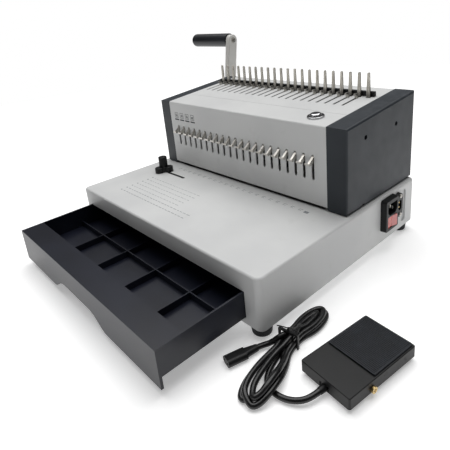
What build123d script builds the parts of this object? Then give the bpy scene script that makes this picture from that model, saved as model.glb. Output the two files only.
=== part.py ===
from build123d import *
import os
from math import cos, pi, radians, sin, tan

os.makedirs("parts", exist_ok=True)

# Comb binding machine with a chip drawer, two comb openers, an electric punch and a foot pedal.
# Millimetres. The machine's own reference point is on the floor, under the middle of the base's width,
# below the front face of the head. +X is the user's right, +Y is the back, +Z is up.

# comb and punching
pitch = 14.2875
slot_count = 21
prong_count = 22
punch_width = 8.0
punch_depth = 3.0
punch_stroke = 10.0
punch_clearance = 0.05
punch_line_y = 12.0

# base
base_width = 397.0
base_depth = 328.0
base_height = 65.5
base_corner = 8.0
base_edge = 3.0
sheet = 1.5
flange_width = 30.0
plate_thickness = 2.0
foot_height = 14.5
foot_radius = 13.0
foot_inset = 16.0
foot_taper = 7.0
deck = foot_height + base_height

# head
head_front_height = 112.5
head_rise = 15.0
head_depth = 164.0
cover_left = -189.0
panel_left = -162.5
panel_right = 164.0
cover_right = 193.0
cover_gap = 1.5
cover_wall = 2.5
cover_edge = 3.0
throat_gap = 5.0
throat_depth = 17.0
seam_y = 45.0
seam_gap = 0.4
frame_thickness = 4.0

# openers
front_slot_low = 118.5
front_slot_high = 153.0
front_slot_width = 4.5
front_travel = 18.0
opener_travel = 30.0
top_slot_width = 3.5
top_slot_front = 76.0
prong_u = 116.5
prong_thickness = 2.0
prong_height = 34.0
prong_foot_width = 6.2
prong_tip_width = 3.6
hook_thickness = 2.5
slide_gap = 0.5

# lever
lever_y = 130.0
lever_z = 135.0
lever_shaft_radius = 7.0
arm_thickness = 11.0
arm_width = 21.0
arm_gap = 1.0
knee_y = 173.0
knee_z = 183.0
grip_y = 187.0
grip_z = 274.0
grip_radius = 13.0
grip_length = 108.0
crank_radius = 30.0
crank_lean = 25.0
crank_x = 140.0
fork_x = 150.5
fork_thickness = 3.0
pin_radius = 3.0

# drawer
drawer_left = -181.0
drawer_right = 175.0
drawer_top = 55.0
drawer_floor = 23.0
drawer_lip = 9.5
drawer_wall = 2.2
drawer_front = -275.0
drawer_front_thickness = 3.0
drawer_length = 250.0
drawer_shelf = 32.0
drawer_gap = 1.0
rib_height = 9.0
rib_thickness = 1.5
arch_half = 79.0
arch_height = 15.0

# edge guide
guide_x = -147.0
guide_y = -39.5
guide_slot_left = -164.0
guide_slot_right = -89.0
guide_slot_width = 5.0
guide_lobe = 7.5
guide_reach = 9.0
guide_base_height = 9.0
knob_radius = 7.2
knob_height = 17.0

# button
button_x = 130.5
button_y = 25.0
button_radius = 8.0
bezel_radius = 11.5

# power inlet and pedal socket, on the right side
inlet_y = 70.5
inlet_width = 33.0
inlet_low = 31.0
inlet_high = 77.5
inlet_stand = 8.5
socket_y = 106.0
socket_width = 17.0
socket_low = 38.0
socket_high = 74.0
socket_stand = 4.5
groove_y = 133.5
groove_width = 11.0
groove_low = 22.0
groove_high = 72.5
groove_depth = 2.5

# foot pedal
pedal_x = 286.6
pedal_y = -122.8
pedal_turn = -7.0
pedal_width = 59.0
pedal_length = 95.0
pedal_height = 17.0
pedal_sheet = 1.5
pedal_gap = 1.2
pad_thickness = 1.8
pad_start = -12.0
pedal_pivot = -17.0
pedal_pivot_z = 8.0
pedal_skirt = 4.5
pivot_screw_radius = 1.5

# cord
cord_radius = 3.0
gland_end = -pedal_length / 2 - 6.0

# where the machine's reference point stands: the origin is under the middle of the whole footprint
arm_outside = cover_left - arm_gap - arm_thickness
grip_end = arm_outside - arm_gap - grip_length
half_turned = (pedal_width * cos(radians(pedal_turn)) - pedal_length * sin(radians(pedal_turn))) / 2
pedal_right = pedal_x + half_turned
rear_most = grip_y + grip_radius
machine_x = -(grip_end + pedal_right) / 2
machine_y = -(drawer_front + rear_most) / 2


def level(z):
    """A horizontal plane at height z, with the machine's own x and y."""
    return Plane((machine_x, machine_y, z))


def across(x):
    """A plane that faces right at x, with y and z as its two directions."""
    return Plane(origin=(machine_x + x, machine_y, 0), x_dir=(0, 1, 0), z_dir=(1, 0, 0))


def facing(y):
    """A plane that faces the user at y, with x and z as its two directions."""
    return Plane(origin=(machine_x, machine_y + y, 0), x_dir=(1, 0, 0), z_dir=(0, -1, 0))


def top_z(y):
    """Height of the head's top surface at depth y."""
    return deck + head_front_height + head_rise * y / head_depth


def pedal_level(z):
    """A horizontal plane in the foot pedal's own turned frame."""
    turn = radians(pedal_turn)
    return Plane((machine_x + pedal_x, machine_y + pedal_y, z), x_dir=(cos(turn), sin(turn), 0))


def pedal_point(x, y, z):
    """A point given in the foot pedal's own turned frame."""
    return pedal_level(z).from_local_coords(Vector(x, y, 0))


pedal_across = Vector(cos(radians(pedal_turn)), sin(radians(pedal_turn)), 0)
pedal_forward = Vector(sin(radians(pedal_turn)), -cos(radians(pedal_turn)), 0)
pedal_side = Plane(pedal_point(0, 0, 0), x_dir=-pedal_forward, z_dir=pedal_across)


def patch(low_a, high_a, low_b, high_b, mode=Mode.ADD):
    """A rectangle between two corners, in the sketch that is open."""
    with Locations(((low_a + high_a) / 2, (low_b + high_b) / 2)):
        Rectangle(high_a - low_a, high_b - low_b, mode=mode)


slot_places = [(i - (slot_count - 1) / 2) * pitch for i in range(slot_count)]
prong_places = [(i - (prong_count - 1) / 2) * pitch for i in range(prong_count)]
head_back = head_depth
frame_left = panel_left + frame_thickness
frame_right = panel_right - frame_thickness
throat_top = deck + throat_gap
panel_in = sheet

# ---------------------------------------------------------------- base
# One deep-drawn steel tray turned upside down: the deck, four walls and a narrow flange underneath.
die_land_half = 157.0
die_front = 3.0
die_back = 22.0
die_gap = 0.3
with BuildPart() as base_shell:
    with BuildSketch(level(foot_height)):
        RectangleRounded(base_width, base_depth, base_corner)
    extrude(amount=base_height)
    fillet(base_shell.faces().sort_by(Axis.Z)[-1].edges(), base_edge)
    with BuildSketch(level(foot_height + sheet)):
        RectangleRounded(base_width - 2 * sheet, base_depth - 2 * sheet, base_corner - sheet)
    extrude(amount=base_height - 2 * sheet, mode=Mode.SUBTRACT)
    with BuildSketch(level(foot_height)):
        RectangleRounded(base_width - 2 * flange_width, base_depth - 2 * flange_width, base_corner)
    extrude(amount=sheet, mode=Mode.SUBTRACT)
    # pressed groove behind the pedal socket
    with BuildSketch(across(base_width / 2 - sheet)):
        patch(
            groove_y - groove_width / 2 - sheet,
            groove_y + groove_width / 2 + sheet,
            groove_low - sheet,
            groove_high + sheet,
        )
    extrude(amount=-groove_depth)
    with BuildSketch(across(base_width / 2)):
        with Locations((groove_y, (groove_low + groove_high) / 2)):
            SlotOverall(groove_high - groove_low, groove_width, rotation=90)
    extrude(amount=-groove_depth, mode=Mode.SUBTRACT)
    # mouth for the drawer
    with BuildSketch(facing(-base_depth / 2)):
        patch(
            drawer_left - drawer_gap,
            drawer_right + drawer_gap,
            drawer_floor - drawer_gap,
            drawer_top + drawer_gap,
        )
    extrude(amount=-2 * sheet, mode=Mode.SUBTRACT)
    # window for the die's land, and the edge guide's slot
    with BuildSketch(level(deck)):
        patch(-die_land_half - die_gap, die_land_half + die_gap, die_front - die_gap, die_back + die_gap)
        with Locations(((guide_slot_left + guide_slot_right) / 2, guide_y)):
            SlotOverall(guide_slot_right - guide_slot_left, guide_slot_width)
    extrude(amount=-2 * sheet, mode=Mode.SUBTRACT)
    # cut-outs for the power inlet and the pedal socket
    with BuildSketch(across(base_width / 2)):
        patch(inlet_y + 2.5, inlet_y + inlet_width - 2.5, inlet_low + 3, inlet_high - 8)
        patch(socket_y + 3, socket_y + socket_width - 3, socket_low + 7, socket_high - 7)
    extrude(amount=-2 * sheet, mode=Mode.SUBTRACT)
base_shell.part.label = "base_shell"
export_step(base_shell.part, "parts/base_shell.step")

# Flat steel plate that closes the underside, resting on the flange.
plate_bottom = foot_height + sheet
plate_top = plate_bottom + plate_thickness
plate_play = 0.3
foot_x = base_width / 2 - foot_inset
foot_y = base_depth / 2 - foot_inset
foot_screw_radius = 2.5
foot_head_radius = 4.5
foot_head_height = 3.0
foot_head_play = 0.5
foot_web = 5.0
with BuildPart() as bottom_plate:
    with BuildSketch(level(plate_bottom)):
        RectangleRounded(
            base_width - 2 * (sheet + plate_play),
            base_depth - 2 * (sheet + plate_play),
            base_corner - sheet,
        )
        with GridLocations(base_width / 4, base_depth / 2, 3, 2):
            SlotOverall(40, 5, mode=Mode.SUBTRACT)
    extrude(amount=plate_thickness)
bottom_plate.part.label = "bottom_plate"
export_step(bottom_plate.part, "parts/bottom_plate.step")

# Four moulded rubber feet, each with a recess for its screw.
with BuildPart() as rubber_feet:
    with BuildSketch(level(foot_height)):
        with GridLocations(2 * foot_x, 2 * foot_y, 2, 2):
            Circle(foot_radius)
    extrude(amount=-foot_height, taper=foot_taper)
    fillet(rubber_feet.faces().sort_by(Axis.Z)[:4].edges(), 1.5)
    with BuildSketch(level(0)):
        with GridLocations(2 * foot_x, 2 * foot_y, 2, 2):
            Circle(foot_head_radius + foot_head_play)
    extrude(amount=foot_height - foot_web, mode=Mode.SUBTRACT)
    with BuildSketch(level(0)):
        with GridLocations(2 * foot_x, 2 * foot_y, 2, 2):
            Circle(foot_screw_radius)
    extrude(amount=foot_height, mode=Mode.SUBTRACT)
rubber_feet.part.label = "rubber_feet"
export_step(rubber_feet.part, "parts/rubber_feet.step")

# The feet's screws: the head in the foot's recess, the shank up through flange and plate.
with BuildPart() as foot_screws:
    with BuildSketch(level(foot_height - foot_web)):
        with GridLocations(2 * foot_x, 2 * foot_y, 2, 2):
            Circle(foot_head_radius)
    extrude(amount=-foot_head_height)
    with BuildSketch(level(foot_height - foot_web - foot_head_height)):
        with GridLocations(2 * foot_x, 2 * foot_y, 2, 2):
            Rectangle(5, 1)
    extrude(amount=1.2, mode=Mode.SUBTRACT)
    with BuildSketch(level(foot_height - foot_web)):
        with GridLocations(2 * foot_x, 2 * foot_y, 2, 2):
            Circle(foot_screw_radius)
    extrude(amount=foot_web)
foot_screws.part.label = "foot_screws"
export_step(foot_screws.part, "parts/foot_screws.step")

# Two folded runners that carry the drawer.
runner_height = drawer_floor - drawer_gap / 2 - plate_top
runner_length = 150.0
runner_width = 9.0
runner_front = -base_depth / 2 + 6
with BuildPart() as drawer_runners:
    with BuildSketch(level(plate_top)):
        for edge, inward in ((drawer_left, 1), (drawer_right, -1)):
            outer = edge - inward * (drawer_gap / 2 + sheet)
            inner = edge + inward * runner_width
            patch(min(outer, inner), max(outer, inner), runner_front, runner_front + runner_length)
    extrude(amount=runner_height)
    with BuildSketch(level(plate_top)):
        for edge, inward in ((drawer_left, 1), (drawer_right, -1)):
            outer = edge - inward * (drawer_gap / 2 + sheet)
            inner = edge - inward * drawer_gap / 2
            patch(min(outer, inner), max(outer, inner), runner_front, runner_front + runner_length)
    extrude(amount=drawer_top - plate_top)
drawer_runners.part.label = "drawer_runners"
export_step(drawer_runners.part, "parts/drawer_runners.step")

# Moulded chip drawer: tray, front with an arched finger recess, wide shelf behind the front's top edge.
drawer_back = drawer_front + drawer_length
shelf_thickness = 2.5
long_rib_y = -185.0
cross_ribs = [-106.0, -35.5, 35.0, 105.5]
gusset_size = 9.0
with BuildPart() as chip_drawer:
    with BuildSketch(level(drawer_floor)):
        patch(drawer_left, drawer_right, drawer_front, drawer_back)
    extrude(amount=drawer_top - drawer_floor)
    with BuildSketch(facing(drawer_front)):
        patch(drawer_left, drawer_right, drawer_lip, drawer_floor + 1)
    extrude(amount=-drawer_front_thickness)
    with BuildSketch(facing(drawer_front)):
        with BuildLine():
            arch_middle = (drawer_left + drawer_right) / 2 - 3
            foot_left = (arch_middle - arch_half, drawer_lip - 1)
            foot_right = (arch_middle + arch_half, drawer_lip - 1)
            crown_left = (arch_middle - arch_half * 0.4, drawer_lip + arch_height)
            crown_right = (arch_middle + arch_half * 0.4, drawer_lip + arch_height)
            foot_pull = arch_middle - arch_half + 22
            crown_pull = crown_left[0] - 24
            Bezier(foot_left, (foot_pull, foot_left[1]), (crown_pull, crown_left[1]), crown_left)
            Line(crown_left, crown_right)
            foot_pull = arch_middle + arch_half - 22
            crown_pull = crown_right[0] + 24
            Bezier(crown_right, (crown_pull, crown_right[1]), (foot_pull, foot_right[1]), foot_right)
            Line(foot_right, foot_left)
        make_face()
    extrude(amount=-drawer_front_thickness, mode=Mode.SUBTRACT)
    # the tray's hollow, behind and below the shelf
    with BuildSketch(level(drawer_floor + drawer_wall)):
        patch(
            drawer_left + drawer_wall,
            drawer_right - drawer_wall,
            drawer_front + drawer_front_thickness,
            drawer_back - drawer_wall,
        )
    extrude(amount=drawer_top - shelf_thickness - drawer_floor - drawer_wall, mode=Mode.SUBTRACT)
    with BuildSketch(level(drawer_top)):
        patch(
            drawer_left + drawer_wall,
            drawer_right - drawer_wall,
            drawer_front + drawer_shelf,
            drawer_back - drawer_wall,
        )
    extrude(amount=-2 * shelf_thickness, mode=Mode.SUBTRACT)
    # stiffening ribs on the floor
    with BuildSketch(level(drawer_floor + drawer_wall / 2)):
        rib_half = rib_thickness / 2
        patch(drawer_left + 1, drawer_right - 1, long_rib_y - rib_half, long_rib_y + rib_half)
        for x in cross_ribs:
            patch(x - rib_half, x + rib_half, drawer_front + 1, drawer_back - 1)
    extrude(amount=drawer_wall / 2 + rib_height)
    # small webs under the shelf's free edge
    web_front = drawer_front + drawer_front_thickness - 0.5
    web_back = drawer_front + drawer_shelf - 2
    shelf_under = drawer_top - shelf_thickness
    for x in cross_ribs[1:]:
        with BuildSketch(across(x - 5)):
            Polygon(
                (web_front, shelf_under + 0.5),
                (web_back, shelf_under + 0.5),
                (web_back, shelf_under - 2),
                (web_front, shelf_under - 2 * gusset_size),
                align=None,
            )
        extrude(amount=rib_thickness)
chip_drawer.part.label = "chip_drawer"
export_step(chip_drawer.part, "parts/chip_drawer.step")

# ---------------------------------------------------------------- punch
# Hardened die plate, clamped under the deck, with a land that fills the deck's window.
die_depth = 10.0
die_half = 164.0
die_low = deck - sheet - die_depth
with BuildPart() as die_plate:
    with BuildSketch(level(die_low)):
        patch(-die_half, die_half, die_front - 4, die_back + 4)
    extrude(amount=die_depth)
    with BuildSketch(level(deck - sheet)):
        patch(-die_land_half, die_land_half, die_front, die_back)
    extrude(amount=sheet)
    with BuildSketch(level(deck)):
        with Locations([(x, punch_line_y) for x in slot_places]):
            Rectangle(punch_width + 2 * punch_clearance, punch_depth + 2 * punch_clearance)
    extrude(amount=-die_depth - sheet, mode=Mode.SUBTRACT)
die_plate.part.label = "die_plate"
export_step(die_plate.part, "parts/die_plate.step")

# Upper guide that keeps the punches in line and closes the top of the throat.
guide_height = 8.0
guide_front = 3.0
guide_back = 22.0
post_x = 152.6
post_radius = 4.5
post_play = 0.05
with BuildPart() as punch_guide:
    with BuildSketch(level(throat_top)):
        patch(frame_left, frame_right, guide_front, guide_back)
        with Locations([(x, punch_line_y) for x in slot_places]):
            Rectangle(
                punch_width + 2 * punch_clearance, punch_depth + 2 * punch_clearance, mode=Mode.SUBTRACT
            )
    extrude(amount=guide_height)
punch_guide.part.label = "punch_guide"
export_step(punch_guide.part, "parts/punch_guide.step")

# Steel bar under the guide that the paper's edge meets.
with BuildPart() as paper_stop:
    with BuildSketch(level(deck)):
        patch(frame_left, frame_right, throat_depth, guide_back)
    extrude(amount=throat_gap)
paper_stop.part.label = "paper_stop"
export_step(paper_stop.part, "parts/paper_stop.step")

# Ram: a beam over the punches and two yokes with windows for the eccentrics.
ram_low = throat_top + guide_height + punch_stroke + 3
ram_high = ram_low + 12
ram_front = 5.5
ram_back = 18.5
ram_end = 0.8
cam_y = 40.0
cam_z = 142.0
cam_x = 100.0
cam_radius = 12.5
cam_throw = 5.0
cam_thickness = 7.0
cam_shaft_radius = 7.0
yoke_thickness = 8.0
yoke_window = 2 * (cam_radius + cam_throw) + 2
yoke_front = 8.0
yoke_back = cam_y + yoke_window / 2 + 8
with BuildPart() as punch_ram:
    with BuildSketch(level(ram_low)):
        patch(-post_x - post_radius - ram_end, post_x + post_radius + ram_end, ram_front, ram_back)
        with Locations((-post_x, punch_line_y), (post_x, punch_line_y)):
            Circle(post_radius + post_play, mode=Mode.SUBTRACT)
    extrude(amount=ram_high - ram_low)
    for x in (-cam_x, cam_x):
        with BuildSketch(across(x - yoke_thickness / 2)):
            patch(yoke_front, yoke_back, ram_low, cam_z + yoke_window / 2 + punch_stroke + 8)
            patch(
                cam_y - yoke_window / 2,
                cam_y + yoke_window / 2,
                cam_z - yoke_window / 2,
                cam_z + yoke_window / 2 + punch_stroke,
                mode=Mode.SUBTRACT,
            )
        extrude(amount=yoke_thickness)
punch_ram.part.label = "punch_ram"
export_step(punch_ram.part, "parts/punch_ram.step")

# The punches hang from the ram, their tips just inside the guide.
with BuildPart() as punches:
    with BuildSketch(level(throat_top + 1)):
        with Locations([(x, punch_line_y) for x in slot_places]):
            Rectangle(punch_width, punch_depth)
    extrude(amount=ram_low - throat_top - 1)
punches.part.label = "punches"
export_step(punches.part, "parts/punches.step")

# Two ground posts that the ram slides on.
with BuildPart() as ram_posts:
    with BuildSketch(level(throat_top + guide_height)):
        with Locations((-post_x, punch_line_y), (post_x, punch_line_y)):
            Circle(post_radius)
    extrude(amount=ram_high + 14 - throat_top - guide_height)
ram_posts.part.label = "ram_posts"
export_step(ram_posts.part, "parts/ram_posts.step")

# ---------------------------------------------------------------- head frame
# Side plates: they stand on the deck behind the throat and reach forward over it.
bearing_radius = 14.0
bush_radius = 10.0


def frame_outline():
    """Outline of a side plate in y and z, with the bearing seat and the lever bush seat."""
    Polygon(
        (panel_in, throat_top),
        (throat_depth, throat_top),
        (throat_depth, deck),
        (head_back - sheet, deck),
        (head_back - sheet, top_z(head_back - sheet) - sheet),
        (panel_in, top_z(panel_in) - sheet),
        align=None,
    )
    with Locations((cam_y, cam_z)):
        Circle(bearing_radius, mode=Mode.SUBTRACT)
    with Locations((lever_y, lever_z)):
        Circle(bush_radius, mode=Mode.SUBTRACT)


with BuildPart() as left_frame:
    with BuildSketch(across(panel_left)):
        frame_outline()
    extrude(amount=frame_thickness)
left_frame.part.label = "left_frame"
export_step(left_frame.part, "parts/left_frame.step")

with BuildPart() as right_frame:
    with BuildSketch(across(frame_right)):
        frame_outline()
    extrude(amount=frame_thickness)
right_frame.part.label = "right_frame"
export_step(right_frame.part, "parts/right_frame.step")

# Two round spacers hold the plates apart, their ends against the plates.
tie_radius = 5.0
with BuildPart() as tie_bars:
    with BuildSketch(across(frame_left)):
        with Locations((head_back - 14, deck + 14), (head_back - 10, top_z(head_back) - 10)):
            Circle(tie_radius)
    extrude(amount=frame_right - frame_left)
tie_bars.part.label = "tie_bars"
export_step(tie_bars.part, "parts/tie_bars.step")

# Ball bearings for the eccentric shaft, one in each side plate.
shaft_play = 0.05
with BuildPart() as shaft_bearings:
    for x in (panel_left, frame_right):
        with BuildSketch(across(x)):
            with Locations((cam_y, cam_z)):
                Circle(bearing_radius)
                Circle(cam_shaft_radius + shaft_play, mode=Mode.SUBTRACT)
        extrude(amount=frame_thickness)
shaft_bearings.part.label = "shaft_bearings"
export_step(shaft_bearings.part, "parts/shaft_bearings.step")

# Flanged bronze bushes for the lever shaft.
with BuildPart() as lever_bushes:
    for x, out in ((panel_left, 1), (panel_right, -1)):
        with BuildSketch(across(x)):
            with Locations((lever_y, lever_z)):
                Circle(bush_radius)
                Circle(lever_shaft_radius + shaft_play, mode=Mode.SUBTRACT)
        extrude(amount=out * frame_thickness)
        with BuildSketch(across(x + out * frame_thickness)):
            with Locations((lever_y, lever_z)):
                Circle(bush_radius + 3)
                Circle(lever_shaft_radius + shaft_play, mode=Mode.SUBTRACT)
        extrude(amount=out * 2)
lever_bushes.part.label = "lever_bushes"
export_step(lever_bushes.part, "parts/lever_bushes.step")

# ---------------------------------------------------------------- drive
# Shaft with two eccentrics that drive the ram's yokes, high side up at rest.
cam_shaft_end = 0.5
with BuildPart() as eccentric_shaft:
    with BuildSketch(across(panel_left + cam_shaft_end)):
        with Locations((cam_y, cam_z)):
            Circle(cam_shaft_radius)
    extrude(amount=panel_right - panel_left - 2 * cam_shaft_end)
    for x in (-cam_x, cam_x):
        with BuildSketch(across(x - cam_thickness / 2)):
            with Locations((cam_y, cam_z + cam_throw)):
                Circle(cam_radius)
        extrude(amount=cam_thickness)
eccentric_shaft.part.label = "eccentric_shaft"
export_step(eccentric_shaft.part, "parts/eccentric_shaft.step")

# Closed gearbox round the shaft, bolted to the motor's face, on a foot that stands on the deck.
motor_y = 97.0
motor_z = 114.0
motor_radius = 26.0
motor_length = 104.0
bell_length = 12.0
bell_step = 3.0
box_left = -22.0
box_right = 20.0
box_foot = 60.0
with BuildPart() as gearbox:
    with BuildSketch(across(box_left)):
        with BuildLine():
            Polyline(
                (24, cam_z - 22),
                (24, cam_z + 22),
                (62, cam_z + 22),
                (motor_y + motor_radius, motor_z + 20),
                (motor_y + motor_radius, deck),
                (box_foot, deck),
                (box_foot, cam_z - 40),
                close=True,
            )
        make_face()
        with Locations((cam_y, cam_z)):
            Circle(cam_shaft_radius + 1, mode=Mode.SUBTRACT)
    extrude(amount=box_right - box_left)
    fillet(gearbox.edges().filter_by(Axis.X).group_by(Axis.Z)[-1], 4)
gearbox.part.label = "gearbox"
export_step(gearbox.part, "parts/gearbox.step")

# Motor can with a smaller end bell.
with BuildPart() as motor:
    with BuildSketch(across(box_right)):
        with Locations((motor_y, motor_z)):
            Circle(motor_radius)
    extrude(amount=motor_length - bell_length)
    with BuildSketch(across(box_right + motor_length - bell_length)):
        with Locations((motor_y, motor_z)):
            Circle(motor_radius - bell_step)
    extrude(amount=bell_length)
    fillet(motor.faces().sort_by(Axis.X)[-1].edges(), 3)
motor.part.label = "motor"
export_step(motor.part, "parts/motor.step")

# ---------------------------------------------------------------- head panels
# Front panel: face and front strip of the top, one bent steel sheet with the front opener's slots.
panel_bend = 2.5
face_centres = (front_slot_low + front_slot_high) / 2
with BuildPart() as front_panel:
    with BuildSketch(across(panel_left)):
        Polygon(
            (0, throat_top),
            (0, top_z(0)),
            (seam_y, top_z(seam_y)),
            (seam_y, top_z(seam_y) - sheet),
            (sheet, top_z(sheet) - sheet),
            (sheet, throat_top),
            align=None,
        )
    extrude(amount=panel_right - panel_left)
    fillet(front_panel.edges().filter_by(Axis.X).group_by(Axis.Y)[0].sort_by(Axis.Z)[-1], panel_bend)
    with BuildSketch(facing(0)):
        with Locations([(x, face_centres) for x in slot_places]):
            SlotOverall(front_slot_high - front_slot_low, front_slot_width, rotation=90)
    extrude(amount=-2 * sheet, mode=Mode.SUBTRACT)
    with BuildSketch(level(top_z(button_y) + 5)):
        with Locations((button_x, button_y)):
            Circle(button_radius + 1.5)
    extrude(amount=-12, mode=Mode.SUBTRACT)
front_panel.part.label = "front_panel"
export_step(front_panel.part, "parts/front_panel.step")

# Top panel: rest of the top and the back, with the rear opener's slots and the prongs' holes.


def on_top(x, y):
    """A plane on the head's sloped top at x and y: its second direction runs back along the slope."""
    return Plane(
        origin=(machine_x + x, machine_y + y, top_z(y)),
        x_dir=(1, 0, 0),
        z_dir=(0, -head_rise, head_depth),
    )


slot_back = prong_u - 1.0
with BuildPart() as top_panel:
    with BuildSketch(across(panel_left)):
        Polygon(
            (seam_y + seam_gap, top_z(seam_y + seam_gap)),
            (head_back, top_z(head_back)),
            (head_back, deck + cover_gap),
            (head_back - sheet, deck + cover_gap),
            (head_back - sheet, top_z(head_back - sheet) - sheet),
            (seam_y + seam_gap, top_z(seam_y + seam_gap) - sheet),
            align=None,
        )
    extrude(amount=panel_right - panel_left)
    fillet(top_panel.edges().filter_by(Axis.X).group_by(Axis.Y)[-1].sort_by(Axis.Z)[-1], panel_bend)
    with BuildSketch(on_top(0, 0)):
        for x in prong_places[:slot_count]:
            patch(x - top_slot_width / 2, x + top_slot_width / 2, top_slot_front, slot_back)
        for x in prong_places:
            with Locations((x, prong_u + prong_thickness / 2)):
                Rectangle(prong_foot_width + 0.8, prong_thickness + 2.4)
    extrude(amount=-3, mode=Mode.SUBTRACT)
top_panel.part.label = "top_panel"
export_step(top_panel.part, "parts/top_panel.step")

# Moulded side covers, open towards the frame, with a boss for each screw.
cover_low = deck + cover_gap
screw_places = [(40.9, deck + 92.9), (115.1, deck + 92.4)]
boss_radius = 5.5
screw_hole_radius = 3.2
screw_seat = 6.0
screw_head_radius = 3.0
screw_head_height = 2.4
screw_cross_depth = 1.4
screw_shank_radius = 1.8
lever_hole_radius = lever_shaft_radius + 1.5


def cover_outline(inset):
    """Outline of a side cover in y and z, drawn in from its outside by the wall."""
    Polygon(
        (inset, cover_low + inset),
        (inset, top_z(inset) - inset),
        (head_back - inset, top_z(head_back - inset) - inset),
        (head_back - inset, cover_low + inset),
        align=None,
    )


covers = []
for outside, inside in ((cover_left, panel_left), (cover_right, panel_right)):
    out = 1 if inside > outside else -1
    width = abs(inside - outside)
    with BuildPart() as side_cover:
        with BuildSketch(across(inside)):
            cover_outline(0)
        extrude(amount=-out * width)
        fillet(side_cover.faces().sort_by(Axis.X)[0 if out > 0 else -1].edges(), cover_edge)
        with BuildSketch(across(inside)):
            cover_outline(cover_wall)
        extrude(amount=-out * (width - cover_wall), mode=Mode.SUBTRACT)
        with BuildSketch(across(inside)):
            with Locations(screw_places):
                Circle(boss_radius)
        extrude(amount=-out * (width - cover_wall))
        with BuildSketch(across(outside)):
            with Locations(screw_places):
                Circle(screw_hole_radius)
        extrude(amount=out * (width - screw_seat), mode=Mode.SUBTRACT)
        with BuildSketch(across(outside)):
            with Locations(screw_places):
                Circle(screw_shank_radius + 0.2)
        extrude(amount=out * width, mode=Mode.SUBTRACT)
        # small finger notch in the lower edge, for lifting the cover off
        with BuildSketch(across(outside)):
            with Locations((36, cover_low)):
                Circle(4)
        extrude(amount=out * 2 * cover_wall, mode=Mode.SUBTRACT)
        if out > 0:
            with BuildSketch(across(outside)):
                with Locations((lever_y, lever_z)):
                    Circle(lever_hole_radius)
            extrude(amount=2 * cover_wall, mode=Mode.SUBTRACT)
    covers.append(side_cover)
left_cover, right_cover = covers
left_cover.part.label = "left_cover"
export_step(left_cover.part, "parts/left_cover.step")
right_cover.part.label = "right_cover"
export_step(right_cover.part, "parts/right_cover.step")

# Pan-head screws at the bottom of the covers' bosses, into the side plates.
with BuildPart() as cover_screws:
    for inside, out in ((panel_left, -1), (panel_right, 1)):
        with BuildSketch(across(inside + out * screw_seat)):
            with Locations(screw_places):
                Circle(screw_head_radius)
        extrude(amount=out * screw_head_height)
        with BuildSketch(across(inside)):
            with Locations(screw_places):
                Circle(screw_shank_radius)
        extrude(amount=out * screw_seat)
        with BuildSketch(across(inside + out * (screw_seat + screw_head_height))):
            with Locations(screw_places):
                Rectangle(4, 0.8)
                Rectangle(0.8, 4)
        extrude(amount=-out * screw_cross_depth, mode=Mode.SUBTRACT)
cover_screws.part.label = "cover_screws"
export_step(cover_screws.part, "parts/cover_screws.step")

# ---------------------------------------------------------------- comb openers
# Stamped steel comb: a rail between the side plates, under the top panel, with upright prongs.
prong_rail_depth = 14.0
prong_root = sheet + 0.3
with BuildPart() as prong_comb:
    with BuildSketch(Plane(on_top(0, 0).origin, x_dir=(1, 0, 0), z_dir=(0, -1, 0)).offset(-prong_u)):
        rail_top = head_rise * prong_u / head_depth - prong_root
        patch(frame_left, frame_right, rail_top - prong_rail_depth, rail_top)
        for x in prong_places:
            Polygon(
                (x - prong_foot_width / 2, rail_top - 1),
                (x - prong_tip_width / 2, rail_top + prong_root + prong_height - 1),
                (x + prong_tip_width / 2, rail_top + prong_root + prong_height - 1),
                (x + prong_foot_width / 2, rail_top - 1),
                align=None,
            )
            with Locations((x, rail_top + prong_root + prong_height - prong_tip_width / 2)):
                Circle(prong_tip_width / 2)
    extrude(amount=-prong_thickness)
prong_comb.part.label = "prong_comb"
export_step(prong_comb.part, "parts/prong_comb.step")

# Black moulded strip that backs the prongs, stuck on the top panel.
strip_front = 121.0
strip_depth = 5.0
strip_height = 7.0
strip_end = 157.0
with BuildPart() as backing_strip:
    with BuildSketch(on_top(0, 0)):
        patch(panel_left, strip_end, strip_front, strip_front + strip_depth)
    extrude(amount=strip_height)
    fillet(backing_strip.edges().filter_by(Axis.X).group_by(Axis.Z)[-1], 1)
backing_strip.part.label = "backing_strip"
export_step(backing_strip.part, "parts/backing_strip.step")

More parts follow.
